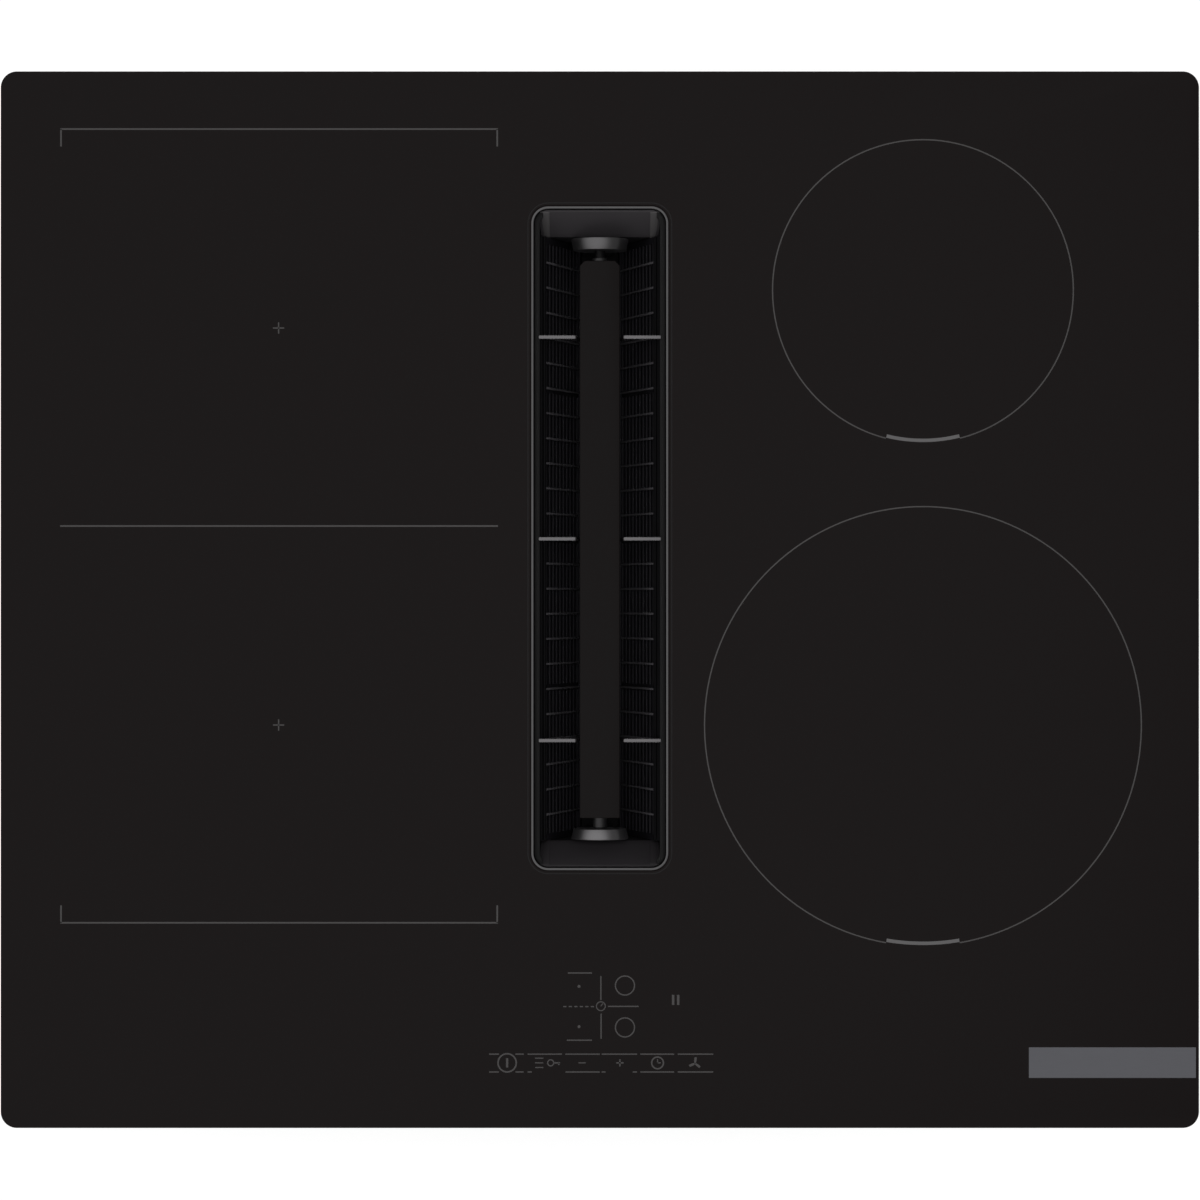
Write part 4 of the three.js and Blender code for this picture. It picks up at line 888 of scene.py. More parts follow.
COPPER = Finish("choke winding", (0.55, 0.24, 0.11), 0.35, 1.0, Texture.BRUSHED_Z, 1.2, 0.1, 0.12)
STRANDS = Finish("copper strands", (0.62, 0.28, 0.13), 0.36, 1.0, Texture.STRANDS, 2.2, 0.3)
PVC = Finish("black gland", (0.02, 0.02, 0.021), 0.45, texture_size=0.4, relief=0.01)


def dressed(piece: Piece, body: str, slot: str, finish: Finish, *stands_for: str) -> Piece:
    """Finishes a piece, names the body that it rides on and the nodes that it stands for.

    Args:
        piece: The piece.
        body: The body that it moves with.
        slot: The material slot that it takes its finish from; not used.
        finish: Its finish.
        *stands_for: The nodes that it replaces.

    Returns:
        The same piece.
    """
    finish.dress(piece)
    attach(piece, body)
    if stands_for:
        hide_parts(*stands_for)
    LOG.info("%s rides on %s, %d faces", piece.name, body, len(piece.data.polygons))
    return piece


# ---- Glass plate and its print --------------------------------------------------------------------


@dataclass
class Vent:
    """The slot in the glass, shared by what lies in it."""

    y: float = 30.35
    width: float = 67.8
    length: float = 328.1
    corner: float = 8.4

    def outline(self, name: str, inset: float, low: float, high: float) -> Piece:
        """A slab of the slot's outline, made smaller all round.

        Args:
            name: Its name.
            inset: How much smaller.
            low: Its underside.
            high: Its top.

        Returns:
            The slab.
        """
        size = (self.width - 2 * inset, self.length - 2 * inset)
        return slab(name, (0, self.y), size, max(self.corner - inset, 1.0), low, high, 10)


@dataclass
class GlassTop:
    """The glass plate, the foam under its edge and the bare plate let into its corner."""

    vent: Vent
    width: float = 592
    depth: float = 522
    corner: float = 8
    bottom: float = 219
    top: float = 222.96
    gap: float = 0.1
    bevel: float = 0.35
    bevel_depth: float = 0.3
    edge: float = 0.15
    bare_centre: Flat = (253.2, -228.7)
    bare_size: Flat = (82.5, 15.1)
    bare_depth: float = 0.3
    bare_rise: float = 0.03

    def plate(self) -> None:
        """Builds the plate round the vent slot."""
        plate = slab("glass_plate", (0, 0), (self.width, self.depth), self.corner, self.bottom, self.top, 16)
        soften(plate, self.edge, 3, 60)
        seam = self.top - self.bevel_depth
        hole = self.vent.outline("hole", -self.gap, self.bottom - 1, seam)
        rim = self.vent.outline("rim", -self.gap, seam - 0.001, self.top)
        pick_faces(rim, lambda centre, normal: normal.z > 0.9)
        inner_width = self.vent.width + 2 * self.gap
        inner_length = self.vent.length + 2 * self.gap
        grow = (1 + 2 * self.bevel / inner_width, 1 + 2 * self.bevel / inner_length, 1)
        bpy.ops.transform.resize(value=grow, center_override=(0, self.vent.y * MM, 0))
        bpy.ops.mesh.extrude_region_move(TRANSFORM_OT_translate={"value": (0, 0, MM)})
        done()
        cut(plate, combine(hole, "UNION", rim))
        dressed(smooth(plate), "hob", "glass_black", GLASS, "glass_panel")
        SEAL.dress(bpy.data.objects["edge_seal"])

    def bare_plate(self) -> None:
        """Builds the bare plate at the right front corner."""
        low, high = self.top - self.bare_depth, self.top + self.bare_rise
        plate = slab("bare_plate", self.bare_centre, self.bare_size, 0.25, low, high, 3)
        dressed(soften(plate, 0.02, 1), "hob", "trim_metal", PLATE)

    def build(self) -> None:
        """Builds the glass and the bare plate."""
        self.plate()
        self.bare_plate()


@dataclass
class Print:
    """The thin marks printed on the glass, and a painted highlight line round the slot."""

    vent: Vent
    low: float = 222.95
    high: float = 222.985
    line: float = 0.8
    thin: float = 0.62

    def stroke(self, start: Flat, end: Flat, width: float | None = None) -> Piece:
        """A straight printed stroke.

        Args:
            start: Its start.
            end: Its end.
            width: Its width, or the usual one.

        Returns:
            The stroke.
        """
        half = (width or self.line) / 2
        along = Vector(end) - Vector(start)
        unit = along.normalized()
        side = Vector((-unit.y, unit.x)) * half
        corners = [Vector(start) - side, Vector(end) - side, Vector(end) + side, Vector(start) + side]
        return prism("stroke", [(c.x, c.y) for c in corners], self.low, self.high)

    def ring(self, centre: Flat, radius: float, width: float, steps: int = 96) -> Piece:
        """A printed ring.

        Args:
            centre: Its middle.
            radius: Its middle radius.
            width: Its width.
            steps: Facets in the turn.

        Returns:
            The ring.
        """
        inner, outer = radius - width / 2, radius + width / 2
        return turned("ring", band(inner, outer, self.low, self.high), (*centre, 0), Axis.Z, steps)

    def inked(self, mark: Piece, finish: Finish = INK) -> Piece:
        """Inks a finished mark, which rides on the hob with its glass."""
        return dressed(mark, "hob", "glass_black", finish)

    def dot(self, centre: Flat, radius: float) -> Piece:
        """A printed dot."""
        return rod("dot", radius, self.low, self.high, (*centre, 0), steps=20)

    def arc(
        self,
        centre: Flat,
        radius: float,
        width: float,
        start: float,
        end: float,
        steps: int = 28,
        sag: float = 0,
    ) -> Piece:
        """A part of a ring, between two angles in degrees from +X.

        Args:
            centre: The ring's middle.
            radius: Its middle radius.
            width: Its width.
            start: Where the part starts.
            end: Where it ends.
            steps: Facets along it.
            sag: How much wider the ring is at its front than at its sides.

        Returns:
            The arc.
        """
        angles = [math.radians(start + (end - start) * i / steps) for i in range(steps + 1)]
        outer = [(radius + sag * min(0.0, math.sin(a)) ** 2 + width / 2, a) for a in angles]
        inner = [(r - width, a) for r, a in reversed(outer)]
        points = [(centre[0] + r * math.cos(a), centre[1] + r * math.sin(a)) for r, a in outer + inner]
        return prism("arc", points, self.low, self.high)

    def painted_glint_line(self) -> None:
        """Paints a lighter line round the slot, a painted highlight of the glass's bevelled edge."""
        line = self.vent.outline("painted_glint_line", -1.85, self.low, self.high)
        cut(line, self.vent.outline("inside", -1.4, self.low - 1, self.high + 1))
        self.inked(line, BEVEL_GLINT_PAINT)

    def zones(self) -> None:
        """Prints the combined zone on the left and the two rings on the right."""
        left, right, rear, middle, front = -266.6, -50.3, 232.5, 36.4, -159.6
        arm, tick, sag, arc_width, arc_half = 8.6, 2.8, 1.2, 1.7, 18.0
        strokes = [self.stroke((left, y), (right, y)) for y in (rear, front, middle)]
        for x in (left + self.line / 2, right - self.line / 2):
            strokes.append(self.stroke((x, rear), (x, rear - arm)))
            strokes.append(self.stroke((x, front), (x, front + arm)))
        self.inked(join("zone_lines", *strokes))
        crosses = []
        for x, y in ((-158.7, 134.2), (-158.7, -61.9)):
            crosses.append(self.stroke((x - tick, y), (x + tick, y), self.thin))
            crosses.append(self.stroke((x, y - tick), (x, y + tick), self.thin))
        self.inked(join("zone_centres", *crosses))
        for name, centre, radius in (("rear", (159.6, 152.95), 74.3), ("front", (159.6, -61.9), 107.9)):
            reach = math.degrees(math.asin(arc_half / radius))
            ring = self.arc(centre, radius, self.thin, 270 + reach, 630 - reach, 160, sag)
            self.inked(smooth(named(ring, f"zone_ring_{name}")))
            bright = self.arc(centre, radius - 0.05, arc_width, 270 - reach, 270 + reach)
            self.inked(smooth(named(bright, f"zone_arc_{name}")), BRIGHT_INK)

    def selector(self) -> None:
        """Prints the small plan of the zones, by which one is chosen."""
        thin = self.thin
        marks = [
            self.stroke((-15.8, -184.4), (-3.9, -184.4), thin),
            self.stroke((-16.3, -217.6), (-3.9, -217.6), thin),
            self.stroke((0.5, -185.9), (0.5, -197.8), thin),
            self.stroke((0.6, -204.5), (0.6, -216.9), thin),
            self.stroke((4.0, -200.9), (19.2, -200.9), thin),
            self.ring((12.4, -190.6), 4.7, thin, 48),
            self.ring((12.4, -211.3), 4.7, thin, 48),
            self.ring((0.5, -200.8), 2.2, 0.5, 32),
            self.stroke((0.5, -200.8), (1.5, -199.4), 0.45),
            self.dot((-10.3, -191.0), 0.75),
            self.dot((-10.3, -210.9), 0.75),
            self.stroke((36.2, -195.2), (36.2, -200.2), 1.2),
            self.stroke((38.7, -195.2), (38.7, -200.2), 1.2),
        ]
        first, pitch, dash = -18.1, 2.72, 1.6
        for i in range(6):
            x = first + i * pitch
            marks.append(self.stroke((x, -201.0), (x + dash, -201.0), thin))
        self.inked(join("selector_marks", *marks))

    def keys(self) -> None:
        """Prints the row of touch keys: their two lines and their symbols."""
        upper, middle, lower = -224.5, -228.8, -233.3
        first = [(-54.7, -49.9), (-41.7, -37.6)]
        last = [(20.0, 36.7), (38.5, 56.0)]
        above = [*first, (-35.7, -18.7), (-17.0, 0.0), (0.9, 18.4), *last]
        below = [*first, (-35.7, -33.6), (-17.0, 0.0), (0.9, 2.8), (16.2, 18.4), *last]
        lines = [
            self.stroke((start, y), (end, y), self.thin)
            for y, spans in ((upper, above), (lower, below))
            for start, end in spans
        ]
        self.inked(join("key_lines", *lines))
        symbols = [
            self.ring((-45.8, middle), 4.5, 0.75, 48),
            self.stroke((-45.8, middle - 2.3), (-45.8, middle + 2.3), 1.1),
            self.ring((-24.3, middle), 1.5, 0.6, 28),
            self.stroke((-22.8, middle), (-19.7, middle), 0.7),
            self.stroke((-20.3, middle), (-20.3, middle - 1.1), 0.7),
            self.stroke((-10.6, middle), (-7.0, middle), 0.55),
            self.stroke((8.1, middle), (11.7, middle), 0.7),
            self.stroke((9.9, middle - 1.8), (9.9, middle + 1.8), 0.7),
            self.ring((28.5, middle), 2.9, 0.7, 40),
            self.stroke((28.5, middle - 0.2), (28.5, middle + 1.8), 0.55),
            self.stroke((28.3, middle), (30.1, middle), 0.55),
        ]
        for offset in (2.3, 0.0, -2.3):
            symbols.append(self.stroke((-32.0, middle + offset), (-27.9, middle + offset), 0.55))
        hub = (47.0, middle - 0.3)
        for degrees in (90, 210, 330):
            symbols.append(self.blade(hub, math.radians(degrees)))
        self.inked(join("key_symbols", *symbols))

    def build(self) -> None:
        """Prints all the marks and paints the highlight line round the slot."""
        self.painted_glint_line()
        self.zones()
        self.selector()
        self.keys()

    def blade(self, hub: Flat, angle: float) -> Piece:
        """One blade of the printed fan.

        Args:
            hub: The fan's middle.
            angle: Where the blade points, in radians.

        Returns:
            The blade.
        """
        shape = [(0.0, -0.35), (1.4, -0.75), (3.0, -0.9), (3.1, 0.2), (1.6, 0.45), (0.0, 0.35)]
        cos, sin = math.cos(angle), math.sin(angle)
        points = [(hub[0] + u * cos - v * sin, hub[1] + u * sin + v * cos) for u, v in shape]
        return prism("blade", points, self.low, self.high)


# ---- Filter cassette ------------------------------------------------------------------------------


@dataclass
class FilterCassette:
    """The lift-out V-shaped filter with its grip bar, and the trim that it rests in."""

    vent: Vent
    top: float = 223.0
    trim_line: float = 1.15
    ledge: float = 3.5
    ledge_top: float = 217.2
    ledge_bottom: float = 215.7
    flange_top: float = 219.5
    flange_bottom: float = 217.5
    flange_outset: float = 1.5
    flange_width: float = 2.8
    shoulder: float = 30.1
    wall: float = 1.6
    v_depth: float = 68.0
    v_run: float = 18.6
    border: float = 3.2
    slat: float = 2.2
    slat_pitch: float = 6.3
    rung_pitch: float = 12.45
    rung: float = 1.1
    rung_count: int = 23
    half_length: float = 149.95
    apron_top: float = 161.6
    apron_drop: float = 13.0
    apron_run: float = 8.4
    # A corner strip's inner edge, and its outer edge at the foot and at the top.
    strip: tuple[float, float, float] = (24.9, 27.5, 29.5)
    gutter_half: float = 150.0
    bar_width: float = 19.7
    bar_half: float = 138.3
    bar_rear_gap: float = 1.1
    bar_top: float = 222.0
    bar_height: float = 20.0
    neck_z: float = 207.0
    boss: float = 14.2
    boss_tip: float = 13.2
    rib_pitch: float = 99.75
    rib_shift: float = -0.25
    body: str = "filter_cassette"

    @property
    def wall_foot(self) -> float:
        """The height that the filter walls stand on."""
        return self.flange_bottom - self.v_depth

    @property
    def foot(self) -> float:
        """The end walls' lower edge."""
        return self.wall_foot - 3

    @property
    def apron_low(self) -> float:
        """The height where the end walls' slope ends."""
        return self.flange_bottom - self.apron_drop

    def outer_end(self) -> float:
        """How far the cassette's outer end is from its middle, below the flange."""
        return self.vent.length / 2 - self.ledge - 0.3

    def half_width(self, z: float) -> float:
        """The cassette's outer half width at a height."""
        return self.shoulder - (self.flange_bottom - z) * self.v_run / self.v_depth

    def trim(self) -> None:
        """Builds the metal trim round the slot, with the ledge that carries the cassette."""
        ring = self.vent.outline("vent_trim_ring", 0, self.ledge_bottom, self.top - 0.01)
        cut(
            ring,
            self.vent.outline("line", self.trim_line, self.ledge_top, self.top + 1),
            self.vent.outline("opening", self.ledge, self.ledge_bottom - 1, self.ledge_top + 1),
        )
        dressed(soften(ring, 0.2), "hob", "trim_metal", TRIM, "vent_trim")

    def frame(self) -> None:
        """Builds the moulded frame: flange, sloping end walls with their corner strips, and gutter."""
        flange = self.vent.outline("flange", self.flange_outset, self.flange_bottom, self.flange_top)
        inner = self.flange_outset + self.flange_width
        cut(flange, self.vent.outline("inside", inner, self.flange_bottom - 1, self.flange_top + 1))
        notch, near, far = 28.1, self.half_length + 6, self.half_length + 16
        under, over = self.flange_bottom - 1.5, self.flange_top + 1.5
        for side in (-1, 1):
            front, rear = sorted((self.vent.y + side * near, self.vent.y + side * far))
            cut(flange, block("end", (-notch, front, under), (notch, rear, over)))
        front, rear = self.vent.y - self.gutter_half, self.vent.y + self.gutter_half
        gutter = prism("gutter", self.gutter_outline(), front, rear, Axis.Y)
        frame = join("cassette_frame", soften(flange, 0.35), soften(gutter, 0.4))
        dressed(frame, self.body, "cassette_plastic", CASSETTE, "filter_frame")
        for name, turn, finish, strip_finish in (
            # The rear strips' lighter colour is painted light.
            ("rear", Matrix.Identity(4), APRON, LIT_STRIP_PAINT),
            # The front's darker apron copy is painted shade.
            ("front", about(0, self.vent.y, 180), SHADED_APRON_PAINT, SHADED_APRON_PAINT),
        ):
            apron = repeated(f"end_wall_{name}", self.end_wall(), [turn])
            dressed(apron, self.body, "cassette_plastic", finish)
            strips = join(f"corner_strips_{name}", self.corner_strip(1), self.corner_strip(-1))
            strips.data.transform(turn)
            dressed(strips, self.body, "cassette_plastic", strip_finish)

    def apron(self, inset: float) -> list[Flat]:
        """The inner face of an end wall, in y and z, sloping in from the trim and then upright.

        Args:
            inset: How far in front of the face.

        Returns:
            Its points from the top down.
        """
        bend = self.vent.y + self.outer_end() - self.wall - self.apron_run - inset
        top = self.vent.y + self.apron_top - inset
        drop, parts = self.apron_low - self.flange_top, 6
        slope = [
            (top + (bend - top) * i / parts, self.flange_top + drop * i / parts) for i in range(parts + 1)
        ]
        return [*slope, (bend, self.foot)]

    def end_wall(self) -> Piece:
        """Builds the rear end wall, cut to the V between the filter walls.

        Returns:
            The end wall.
        """
        outer = self.vent.y + self.outer_end()
        crest = self.vent.y + self.apron_top + 0.8
        back = [
            (outer - self.apron_run, self.foot),
            (outer - self.apron_run, self.apron_low),
            (outer, self.flange_bottom),
            (crest, self.flange_bottom),
            (crest, self.flange_top),
        ]
        plate = prism("end_wall", [*self.apron(0), *back], -self.shoulder, self.shoulder, Axis.X)
        bend = self.apron_low - 0.5
        right = [
            (self.half_width(self.foot), self.foot - 0.5),
            (self.half_width(bend), bend),
            (self.shoulder - 1, bend + 0.4),
            (self.shoulder, self.flange_bottom),
            (self.shoulder, self.flange_top + 1.5),
        ]
        wedge = prism("wedge", [*right, *mirrored(right)], self.vent.y, self.vent.y + 200, Axis.Y)
        combine(plate, "INTERSECT", wedge)
        combine(plate, "INTERSECT", self.vent.outline("round", self.flange_outset + 0.2, 140, 222))
        return soften(plate, 0.12, 1)

    def corner_strip(self, side: int) -> Piece:
        """Builds the raised strip down a rear corner, wider towards its top.

        Args:
            side: 1 for the right corner and -1 for the left one.

        Returns:
            The strip.
        """
        proud, thickness = 0.5, 0.7
        inner, foot, shoulder = (side * x for x in self.strip)
        face = self.apron(proud)[:-1]
        back = [(y + thickness, z) for y, z in reversed(face)]
        strip = prism("strip", [*face, *back], *sorted((inner, shoulder)), Axis.X)
        low, high = self.apron_low - 1, self.flange_top + 1
        flare = [(inner - side, low), (foot, low), (shoulder + side * 0.1, high), (inner - side, high)]
        combine(strip, "INTERSECT", prism("flare", flare, self.vent.y, self.vent.y + 200, Axis.Y))
        return soften(strip, 0.25)

    def gutter_outline(self) -> list[Flat]:
        """The gutter's section, a shallow W that the two walls stand in.

        Returns:
            Its points in x and z.
        """
        low = self.wall_foot
        inner, outer, edge = 9.3, 12.7, 14.3
        right = [
            (inner, low + 3),
            (inner, low - 0.3),
            (outer, low - 0.3),
            (outer, low + 3),
            (edge, low + 3),
            (edge, low - 3),
        ]
        return right + mirrored(right)

    def lean(self) -> Matrix:
        """The place of the right wall's outer foot, leaning out with the slope.

        Returns:
            The move of a wall that stands on the origin with its outer face at x 0.
        """
        angle = math.atan(self.v_run / self.v_depth)
        place = step(self.half_width(self.wall_foot), self.vent.y, self.wall_foot)
        return place @ Matrix.Rotation(angle, 4, "Y")

    def on_both_sides(self, right: Piece, finish: Finish, node: str | None = None) -> None:
        """Leans a right-hand piece into place, copies it to the left and dresses both.

        Args:
            right: The piece, standing on the origin.
            finish: Its finish.
            node: What the pair stands for, without the side, if anything.
        """
        right.data.transform(self.lean())
        left = placed(right, about(0, self.vent.y, 180))
        left.name = right.name.replace("right", "left")
        for piece, side in ((right, "right"), (left, "left")):
            nodes = [f"{node}_{side}"] if node else []
            dressed(piece, self.body, "filter_metal", finish, *nodes)

    def walls(self) -> None:
        """Builds the two slatted filter walls."""
        lift = 0.3
        height = math.hypot(self.v_run, self.v_depth) - 2 * lift
        count = int((height - 2 * self.border + self.slat) // self.slat_pitch)
        start = (height - (count * self.slat_pitch - self.slat)) / 2
        end = self.half_length
        slat = soften(block("slat", (-1.45, -end + 1, 0), (-0.15, end - 1, self.slat)), 0.55, 3)
        first = start + self.slat_pitch - self.slat
        rises = [step(z=lift + first + i * self.slat_pitch) for i in range(count - 1)]
        parts, rims = [repeated("slats", slat, rises)], []
        for made, low, high in ((parts, lift, lift + start), (rims, lift + height - start, lift + height)):
            made.append(soften(block("border", (-self.wall, -end, low), (0, end, high)), 0.4))
        near, far = -self.wall - 1.35, -self.wall - 0.3
        foot = self.border
        for made, low, high in ((parts, foot + 0.5, foot + 2.5), (rims, height - 2.4, height - 0.4)):
            made.append(soften(block("rail", (near, 0.3 - end, low), (far, end - 0.3, high)), 0.3))
        bay = (2 * end - self.border) / 4
        post = soften(block("post", (-self.wall, -end, 0.5), (0, -end + self.border, height)), 0.3)
        parts.append(repeated("posts", post, [step(y=i * bay) for i in range(5)]))
        self.on_both_sides(join("filter_slats_right", *parts), SLATS, "filter_wall")
        self.on_both_sides(join("filter_rims_right", *rims), RIMS)

    def ladders(self) -> None:
        """Builds the two ladders of cross rungs that hold the slats apart."""
        low = 1.5 + self.border
        high = math.hypot(self.v_run, self.v_depth) - 1.6
        near, far = -self.wall - 1.3, -self.wall - 0.3
        rung = block("rung", (near, -self.rung / 2, low), (far, self.rung / 2, high))
        soften(rung, 0.35, 3)
        middle = (self.rung_count - 1) / 2
        places = [step(y=(i - middle) * self.rung_pitch) for i in range(self.rung_count)]
        self.on_both_sides(repeated("filter_rungs_right", rung, places), RUNGS, "filter_ladder")

    def bar(self) -> None:
        """Builds the grip bar, flat on top and rounded underneath."""
        half, end, chamfer = self.bar_width / 2, self.bar_half, 2.4
        rear = end - self.bar_rear_gap
        low = self.bar_top - self.bar_height
        y = self.vent.y
        plan = [(half, y - end), (half, y + rear - chamfer), (half - chamfer, y + rear)]
        plan += mirrored(plan)
        bar = prism("grip", plan, low, self.bar_top)
        steps = 24
        turn = [math.pi + math.pi * i / steps for i in range(steps + 1)]
        under = [(half * math.cos(a), low + half + half * math.sin(a)) for a in turn]
        section = [(half, self.bar_top + 1), (-half, self.bar_top + 1), *under]
        combine(bar, "INTERSECT", prism("section", section, y - end - 1, y + end + 1, Axis.Y))
        for side in (-1, 1):
            near, far = side * (end - 9.4), side * (end + 1)
            cut(bar, rod("socket", 4.0, near, far, (0, y, self.neck_z), Axis.Y, 32))
        dressed(soften(bar, 0.45, 3), self.body, "glass_black", BAR, "grip_bar")

    def brackets(self) -> None:
        """Builds the turned bosses at the bar's ends, each with its neck, collar and post."""
        axis = (0, 0, self.neck_z)
        half_width, half_depth, post_low, neck_radius = 7, 1.75, 152.8, 2.6
        for name, turn, gap, reach, depth, collar, finish in (
            ("rear", 0, self.bar_rear_gap, 10.7, 5.9, 2.4, BOSS),
            # The front boss's brighter steel is painted light.
            ("front", math.pi, 0.0, 11.1, 5.3, 9.0, LIT_BOSS_PAINT),
        ):
            far = self.bar_half + reach
            near = far - depth
            middle = (near + far) / 2
            boss = turned(f"boss_{name}", self.boss_profile(near, far), axis, Axis.Y, 96)
            low = (-half_width, middle - half_depth, post_low)
            post = block(f"post_{name}", low, (half_width, middle + half_depth, self.neck_z - 8))
            start = self.bar_half - gap
            end = min(start + collar, near - 0.3)
            collar_profile = [(3.4, start - 8), (3.65, start - 7.8), (3.65, end - 0.3), (3.35, end)]
            ring = turned(f"neck_collar_{name}", collar_profile, axis, Axis.Y, 48)
            neck = rod(f"neck_{name}", neck_radius, end - 1, near + 0.6, axis, Axis.Y, 40)
            place = step(y=self.vent.y) @ Matrix.Rotation(turn, 4, "Z")
            for piece in (boss, soften(post, 0.5), ring, neck):
                piece.data.transform(place)
            dressed(smooth(boss, 40), self.body, "trim_metal", finish, f"bar_bracket_{name}")
            dressed(post, self.body, "trim_metal", CASSETTE)
            dressed(smooth(ring, 40), self.body, "trim_metal", COLLAR)
            # The neck is dressed black: a dark moulding, and painted shade for the shade that falls on it
            # between boss and collar.
            dressed(smooth(neck, 40), self.body, "cassette_plastic", CASSETTE)

    def boss_profile(self, near: float, far: float) -> list[Flat]:
        """A boss's section, slightly wider at its far end.

        Args:
            near: Where the boss starts, next to the bar.
            far: Where it ends.

        Returns:
            Points of radius and place along the bar.
        """
        edge = 0.6
        return [
            (self.boss_tip - edge, near),
            (self.boss_tip - edge / 4, near + edge / 4),
            (self.boss_tip, near + edge),
            (self.boss, far - edge),
            (self.boss - edge / 4, far - edge / 4),
            (self.boss - edge, far),
        ]

    def ribs(self) -> None:
        """Builds the three cross ribs that carry the bar between the filter walls."""
        inner, outer, reach, bend, fillet, thickness = 11.2, 14.2, 30.35, 1.4, 3.0, 1.9
        top, hook, under, strap_top, strap = 221.3, 219.8, 217.0, 201.7, 198.7
        bend_steps, root_steps, quarter = 8, 6, math.pi / 2
        curve = [
            (inner + bend + bend * math.cos(a), top - bend + bend * math.sin(a))
            for a in (quarter + quarter * i / bend_steps for i in range(bend_steps + 1))
        ]
        root = [
            (inner - fillet + fillet * math.cos(a), strap_top + fillet - fillet * math.sin(a))
            for a in (quarter * i / root_steps for i in range(root_steps + 1))
        ]
        right = [(reach, top), *curve, *root]
        below = [(outer, strap), (outer, under), (28.1, under), (29.2, hook), (reach, hook)]
        outline = [*right, *mirrored(right), *mirrored(below), *below]
        rib = prism("rib", outline, -thickness / 2, thickness / 2, Axis.Y)
        soften(rib, 0.4, 3)
        for name, count in (("front", -1), ("middle", 0), ("rear", 1)):
            made = placed(rib, step(y=self.vent.y + self.rib_shift + count * self.rib_pitch))
            made.name = f"rib_{name}"
            dressed(made, self.body, "trim_metal", RIB, f"cross_rib_{name}")
        bpy.data.objects.remove(rib)

    def tray(self) -> None:
        """Builds the tray for condensed water, with its two snap tabs."""
        low, high, wall, width, half, corner = 116.0, 138.0, 1.6, 48, 156.15, 6
        tab_half, tab_top, tab_corner, slack = 11, 152.5, 4, 0.05
        middle = (0, self.vent.y)
        tray = slab("tray", middle, (width, 2 * half), corner, low, high)
        room = (width - 2 * wall, 2 * (half - wall))
        cut(tray, slab("inside", middle, room, corner - wall, low + wall, high + 1))
        parts = [soften(tray, 0.45)]
        for side in (-1, 1):
            y = self.vent.y + side * (half - wall / 2)
            near, far = y - wall / 2 + slack, y + wall / 2 - slack
            tab = block("tab", (-tab_half, near, low + 3), (tab_half, far, tab_top))
            pick_edges(
                tab, lambda a, b: abs(a.x - b.x) < SAME and abs(a.z - b.z) < SAME and a.z > high * MM
            )
            bpy.ops.mesh.bevel(offset=tab_corner * MM, segments=6, affect="EDGES")
            done()
            parts.append(soften(tab, 0.3))
        dressed(join("drip_tray", *parts), "tray", "cassette_plastic", CONTAINER, "condensate_tray")

    def build(self) -> None:
        """Builds the trim and the whole cassette."""
        self.trim()
        self.frame()
        self.walls()
        self.ladders()
        self.bar()
        self.brackets()
        self.ribs()
        self.tray()
        HOUSING.dress(bpy.data.objects["vent_shaft"])


# ---- Case, plenum, blower and container -----------------------------------------------------------


def screws(name: str, places: Sequence[Matrix], radius: float = 3.4) -> Piece:
    """Pan-head screws with a cross recess, which stand on the plane z 0 before they are placed.

    Args:
        name: Their name.
        places: Where they go.
        radius: The head's radius.

    Returns:
        The screws as one piece.
    """
    shank, arm, rim, top = radius * 0.5, radius * 0.24, 0.9, 2.1
    profile = [(shank, -1.5), (shank, 0), (radius, 0), (radius, rim)]
    profile += [(radius * 0.82, 1.7), (radius * 0.45, top)]
    head = turned("head", profile, steps=24)
    for width, depth in ((radius, arm), (arm, radius)):
        cut(head, block("recess", (-width / 2, -depth / 2, rim), (width / 2, depth / 2, 3)))
    return smooth(repeated(name, head, places))


def facing(x: float, y: float, z: float, degrees: float) -> Matrix:
    """A place on an upright wall whose outside faces a direction.

    Args:
        x: The place's x.
        y: The place's y.
        z: The place's z.
        degrees: The direction, from +X.

    Returns:
        The move of a fixing that stands on the plane z 0.
    """
    turn = Matrix.Rotation(math.radians(degrees), 4, "Z") @ Matrix.Rotation(math.pi / 2, 4, "Y")
    return step(x, y, z) @ turn


